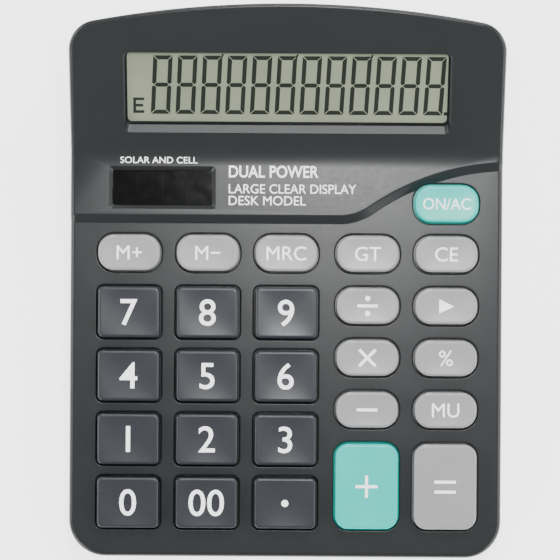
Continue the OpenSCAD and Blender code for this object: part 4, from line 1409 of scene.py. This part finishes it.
class Display:
    """What shows in the display window: glass, a dark border standing in for the window's dark, shaded
    wall, pane and twelve digits.
    """

    digit_w = 5.25
    digit_h = 16.6
    pitch = 6.735
    stroke = 1.15
    gap = 0.16
    slant = 3.0
    first_x = -34.55
    low = 9.7
    sign_at = (-41.9, 9.9)
    sign_size = (3.0, 4.4)
    sign_stroke = 0.75
    arm_short = 0.3
    last_digit = 11

    def __init__(self, s: Sizes, places: Places) -> None:
        """Takes the sizes and the frames."""
        self.s = s
        self.places = places

    def segments(self) -> list[Plan]:
        """The seven mitred segments of one digit, with its lower left corner at zero."""
        w, h, t, g = self.digit_w, self.digit_h, self.stroke, self.gap
        m = h / 2
        flat = [(g, 0), (w - g, 0), (w - t - g, t), (t + g, t)]
        left = [(0, g), (t, t + g), (t, m - t / 2 - g), (t / 2, m - g), (0, m - t / 2)]
        bar = [(t / 2 + g, m), (t + g * 0.6, m - t / 2), (w - t - g * 0.6, m - t / 2),
               (w - t / 2 - g, m), (w - t - g * 0.6, m + t / 2), (t + g * 0.6, m + t / 2)]
        out = [flat, [(x, h - y) for x, y in flat], left, bar]
        out.append([(x, h - y) for x, y in left])
        out.append([(w - x, y) for x, y in left])
        out.append([(w - x, h - y) for x, y in left])
        return out

    def prism(self, polygons: Sequence[Plan], name: str) -> bpy.types.Mesh:
        """Thin prisms standing on the glass, leaning with the digits, in metres."""
        lean = math.tan(math.radians(self.slant))
        bm = bmesh.new()
        for polygon in polygons:
            rings = [[bm.verts.new(((x + y * lean) * MM, y * MM, z * MM)) for x, y in polygon]
                     for z in (-0.03, 0.05)]
            bm.faces.new(rings[0][::-1])
            bm.faces.new(rings[1])
            n = len(polygon)
            for i in range(n):
                j = (i + 1) % n
                bm.faces.new([rings[0][i], rings[0][j], rings[1][j], rings[1][i]])
        bmesh.ops.recalc_face_normals(bm, faces=bm.faces)
        mesh = bpy.data.meshes.new(name)
        bm.to_mesh(mesh)
        bm.free()
        return mesh

    def digits(self, finishes: Finishes) -> bpy.types.Object:
        """The row of digits, one digit repeated along the display."""
        p = Program("DigitRow")
        f = p.inputs(Count=12, Pitch=self.pitch * MM)
        line = p.node("GeometryNodeMeshLine", Count=f["Count"], Offset=p.vector(f["Pitch"], 0.0, 0.0))
        each = p.node("GeometryNodeInstanceOnPoints", Points=line.outputs[0],
                      Instance=p.group.outputs["Geometry"])
        p.close(each.outputs[0])
        start = Vector((self.first_x - self.digit_w / 2, self.low, self.s.lcd_top)) * MM
        place = metres(self.places.head) @ Matrix.Translation(start)
        mesh = self.prism(self.segments(), "Digit")
        return p.run("LcdDigits", {"Count": 12, "Pitch": self.pitch * MM}, place,
                     finishes.segment, mesh)

    def marks(self, finishes: Finishes) -> bpy.types.Object:
        """The sign at the left end, the three tick marks and the point at the right end."""
        (x, y), (w, h), t = self.sign_at, self.sign_size, self.sign_stroke
        arm, under, over = x + w - self.arm_short, y + h / 2 - t / 2, y + h / 2 + t / 2
        polygons: list[Plan] = [
            [(x, y), (x + w, y), (x + w, y + t), (x + t, y + t), (x + t, under), (arm, under),
             (arm, over), (x + t, over), (x + t, y + h - t), (x + w, y + h - t), (x + w, y + h),
             (x, y + h)]
        ]
        top = self.low + self.digit_h
        for digit in (2, 5, 8):
            right = self.first_x + self.digit_w / 2 + digit * self.pitch + 0.3
            polygons.append([(right, top - 0.9), (right + 0.35, top - 1.0), (right + 1.0, top + 0.45),
                             (right + 0.45, top + 0.55)])
        end = self.first_x + self.digit_w / 2 + self.last_digit * self.pitch + 0.55
        polygons.append(rounded(end + 0.35, self.low + 0.45, 0.95, 0.95, 0.2, 3))
        lean = math.tan(math.radians(self.slant))
        upright = [[(px - py * lean, py) for px, py in polygon] for polygon in polygons]
        mesh = self.prism(upright, "LcdMarks")
        mesh.transform(metres(self.places.head) @ Matrix.Translation((0, 0, self.s.lcd_top * MM)))
        return finish_mesh("LcdMarks", mesh, [finishes.segment], 30)

    def pane(self, finishes: Finishes) -> bpy.types.Object:
        """The clear pane, its edges slightly eased."""
        s = self.s
        w, h, mid = s.window
        draft = Draft()
        rings = []
        for ease, z in ((0.2, s.pane_low), (0.0, s.pane_low + 0.1), (0.0, -s.head_wall - 0.12),
                        (0.2, -s.head_wall - 0.01)):
            plan = rounded(0, mid, w + 4 - 2 * ease, h + 4 - 2 * ease, 1.2)
            rings.append([Vector((x, y, z)) for x, y in plan])
        draft.loft(rings, ends=True)
        return draft.build("DisplayPane", self.places.head, [finishes.pane])

    def mask(self, finishes: Finishes) -> bpy.types.Object:
        """A dark border under the edge of the pane, standing in for the window's wall and the pane's
        edge: partly their own dark colour, partly painted shade.
        """
        s = self.s
        w, h, mid = s.window
        draft = Draft()
        rings = []
        inner, outer = (-0.55 * 2, 1.2), (3.6, 1.1)
        for (grow, corner), z in ((inner, 0.0), (outer, 0.0), (outer, -0.05), (inner, -0.05),
                                  (inner, 0.0)):
            plan = rounded(0, mid, w + grow, h + grow, corner)
            rings.append([Vector((x, y, s.pane_low - 0.04 + z)) for x, y in plan])
        draft.loft(rings)
        return draft.build("DisplayBorderShade", self.places.head, [finishes.mask])

    def build(self, finishes: Finishes) -> list[bpy.types.Object]:
        """Makes every display piece and puts it on the case."""
        pieces = [self.digits(finishes), self.marks(finishes), self.pane(finishes), self.mask(finishes)]
        for piece in pieces:
            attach(piece, "case")
        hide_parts("display_window")
        return pieces


# ---------------------------------------------------------------- battery spring


class Spring:
    """The coil that presses on the battery, wound along a helix, with its contact plate."""

    turns = 4.5
    radius = 3.4
    wire = 0.42
    plate = 0.3
    plate_side = 11.0
    tab_half = 1.5
    tab_up = 4.0

    def __init__(self) -> None:
        """Builds the node tree of the coil."""
        p = Program("Coil")
        f = p.inputs(Turns=4.5, Radius=0.0034, Height=0.0065, Wire=0.00042)
        helix = p.node("GeometryNodeCurveSpiral", Resolution=28, Rotations=f["Turns"],
                       Start_Radius=f["Radius"] * 0.8, End_Radius=f["Radius"], Height=f["Height"])
        ring = p.node("GeometryNodeCurvePrimitiveCircle", Resolution=12, Radius=f["Wire"])
        skin = p.node("GeometryNodeCurveToMesh", Curve=helix.outputs[0], Profile_Curve=ring.outputs[0])
        skin.inputs["Fill Caps"].default_value = True
        p.close(skin.outputs[0])
        self.program = p

    def build(self, finishes: Finishes) -> bpy.types.Object:
        """Winds the coil inside the room its designed node takes up, with a plate behind it."""
        low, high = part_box("battery_spring")
        plate, wire = self.plate * MM, self.wire * MM
        middle = (low[1] + high[1]) / 2
        x0, x1 = low[0], high[0]
        z = low[2] + self.plate_side * MM / 2
        height = x1 - x0 - plate - 0.9 * MM
        turn = Matrix.Rotation(math.pi / 2, 4, "Y")
        place = Matrix.Translation((x0 + plate + wire, middle, z)) @ turn
        values = {"Turns": self.turns, "Radius": self.radius * MM, "Height": height, "Wire": wire}
        coil = self.program.run("SpringCoil", values, place, finishes.steel)
        draft = Draft()
        rings = []
        for inset, x in ((0.3, 0.0), (0.0, 0.06), (0.0, 0.24), (0.3, 0.3)):
            side = self.plate_side - 2 * inset
            plan = rounded(middle / MM, z / MM, side, side, 1.0)
            rings.append([Vector((x0 / MM + x, y, h)) for y, h in plan])
        draft.loft(rings, ends=True)
        half, thick = self.tab_half, self.plate
        corners = ((0, -half), (thick, -half), (thick, half), (0, half))
        tab = [
            [Vector((x0 / MM + x, middle / MM + y, h)) for x, y in corners]
            for h in (z / MM + self.tab_up, high[2] / MM)
        ]
        draft.loft(tab, ends=True)
        back = draft.build("SpringPlate", Matrix.Identity(4), [finishes.steel])
        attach(coil, "case")
        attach(back, "case")
        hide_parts("battery_spring")
        return coil


# ---------------------------------------------------------------- printed words


class Wording:
    """The white words on the raised strip."""

    def __init__(self, s: Sizes, places: Places, glyphs: Glyphs) -> None:
        """Takes the sizes, the frames and the glyph maker."""
        self.s, self.places, self.glyphs = s, places, glyphs

    def build(self, finishes: Finishes) -> list[bpy.types.Object]:
        """Prints each line on the strip."""
        left = -15.8
        level = self.s.band_rise
        lines = [
            ("WordsTitle", "DUAL POWER", 3.1, 24.4, left + 12.2, 105.2, 0.012),
            ("WordsFirst", "LARGE CLEAR DISPLAY", 2.45, 34.7, left + 17.35, 100.5, 0.0),
            ("WordsSecond", "DESK MODEL", 2.45, 21.0, left + 10.5, 97.3, 0.0),
            ("WordsSolar", "SOLAR AND CELL", 1.7, 21.0, -34.9, 108.2, 0.0),
        ]
        made = []
        for name, text, cap, width, x, y, bold in lines:
            bm = self.glyphs.words(text, cap, width, bold)
            obj = Print(cell=50.0).build(name, bm, (x, y), lambda a, b: level, self.places.deck,
                                         finishes.legend)
            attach(obj, "case")
            made.append(obj)
        return made


# ---------------------------------------------------------------- designed nodes


def dress(finishes: Finishes, round_edges: Sequence[str]) -> None:
    """Gives every node that keeps its designed mesh a finish and, if listed, eased edges."""
    for name, material in finishes.inner.items():
        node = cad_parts[name]
        node.data.materials.clear()
        node.data.materials.append(material)
        if name in round_edges:
            bevel = node.modifiers.new("Edges", "BEVEL")
            bevel.width = 0.25 * MM
            bevel.segments = 2
            bevel.limit_method = "ANGLE"
            bevel.angle_limit = math.radians(50)


# ---------------------------------------------------------------- stage


@dataclass(frozen=True)
class Lamp:
    """A rectangular softbox that points at the middle of the deck."""

    name: str
    place: tuple[float, float, float]
    size: tuple[float, float]
    power: float

    def build(self) -> bpy.types.Object:
        """Hangs the lamp."""
        data = bpy.data.lights.new(self.name, "AREA")
        data.shape = "RECTANGLE"
        data.size, data.size_y = self.size
        data.energy = self.power
        obj = bpy.data.objects.new(self.name, data)
        obj.location = self.place
        aim = Vector((0, 0.0, 0.015)) - Vector(self.place)
        obj.rotation_euler = aim.to_track_quat("-Z", "Y").to_euler()
        bpy.context.scene.collection.objects.link(obj)
        obj.visible_camera = False
        return obj


class Studio:
    """Pale floor, soft light and the camera."""

    lamps = (
        Lamp("LampTop", (0.026, 0.046, 0.427), (0.09, 0.07), 0.8),
        Lamp("LampFrontLeft", (-0.6, -0.6, 0.34), (0.4, 0.3), 3.0),
        Lamp("LampFrontRight", (0.65, -0.55, 0.34), (0.4, 0.3), 2.4),
        Lamp("LampRear", (0.15, 0.65, 0.6), (0.7, 0.35), 5.0),
        Lamp("LampLeft", (-0.75, 0.1, 0.45), (0.5, 0.5), 4.0),
        Lamp("LampRight", (0.75, 0.0, 0.45), (0.5, 0.5), 3.0),
    )
    room_colour = (0.9, 0.92, 0.95, 1)
    room_light = 0.3
    floor_half = 1.6
    floor_level = -0.00005
    floor_glow = 2.6
    lens = 176.6
    sensor = 36.0
    camera_at = (-1.7, 75.7, 750.0)
    camera_roll = 0.36

    def __init__(self, s: Sizes, places: Places) -> None:
        """Takes the sizes and the frames."""
        self.s, self.places = s, places

    def floor(self) -> None:
        """A large pale floor that also glows a little, so that it stays even."""
        g = Graph("FloorPaper")
        colour = g.shade((0.9, 0.9, 0.9), g.spread(g.noise(400.0), 0.3, 0.7, 0.99, 1.0))
        shader = g.node("ShaderNodeBsdfPrincipled", Base_Color=colour, Roughness=0.9,
                        Emission_Color=(1.0, 1.0, 1.0, 1.0), Emission_Strength=self.floor_glow)
        material = g.close(shader.outputs[0])
        mesh = bpy.data.meshes.new("Floor")
        e, z = self.floor_half, self.floor_level
        mesh.from_pydata([(-e, -e, z), (e, -e, z), (e, e, z), (-e, e, z)], [], [(0, 1, 2, 3)])
        mesh.materials.append(material)
        floor = bpy.data.objects.new("Floor", mesh)
        bpy.context.scene.collection.objects.link(floor)

    def lights(self) -> None:
        """Softboxes over, before, behind and beside the object, and a dim room."""
        for lamp in self.lamps:
            lamp.build()
        world = bpy.data.worlds.new("Room")
        world.use_nodes = True
        back = world.node_tree.nodes["Background"]
        back.inputs[0].default_value = self.room_colour
        back.inputs[1].default_value = self.room_light
        bpy.context.scene.world = world

    def camera(self) -> None:
        """Looks along the normal of the key deck."""
        data = bpy.data.cameras.new("Camera")
        data.sensor_width = self.sensor
        data.lens = self.lens
        data.clip_start, data.clip_end = 0.05, 10
        obj = bpy.data.objects.new("Camera", data)
        spot = Matrix.Translation(self.camera_at)
        roll = Matrix.Rotation(math.radians(self.camera_roll), 4, "Z")
        obj.matrix_world = metres(self.places.deck @ spot) @ roll
        bpy.context.scene.collection.objects.link(obj)
        bpy.context.scene.camera = obj

    def build(self) -> None:
        """Sets everything up."""
        self.floor()
        self.lights()
        self.camera()


# ---------------------------------------------------------------- main


def report(what: str, *objects: bpy.types.Object) -> None:
    """Logs what was built and how many faces it has."""
    LOG.info("%s: %d piece(s), %d faces", what, len(objects), sum(len(o.data.polygons) for o in objects))


def main() -> None:
    """Builds every piece in order."""
    logging.basicConfig(level=logging.INFO, format="%(message)s")
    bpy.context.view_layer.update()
    s = Sizes()
    places = Places(s)
    finishes = Finishes(s)
    keys = key_set(s)
    dress(finishes, ("lower_case", "battery_door", "rubber_feet"))
    report("upper case", UpperShell(s, places, keys).build(finishes))
    caps = KeyCaps(s)
    report("key caps", *[caps.build(key, places.deck, finishes) for key in keys])
    glyphs = Glyphs()
    legends = []
    for key in keys:
        sign = glyphs.legend(key.legend, key.kind)
        obj = Print().build(f"Legend_{key.name}", sign, (key.x, key.y), key.surface, places.deck,
                            finishes.legend)
        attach(obj, f"button_{key.name.removeprefix('key_')}")
        legends.append(obj)
    report("legends", *legends)
    report("display", *Display(s, places).build(finishes))
    report("words", *Wording(s, places, glyphs).build(finishes))
    report("spring", Spring().build(finishes))
    Studio(s, places).build()


if __name__ == "__main__":
    main()
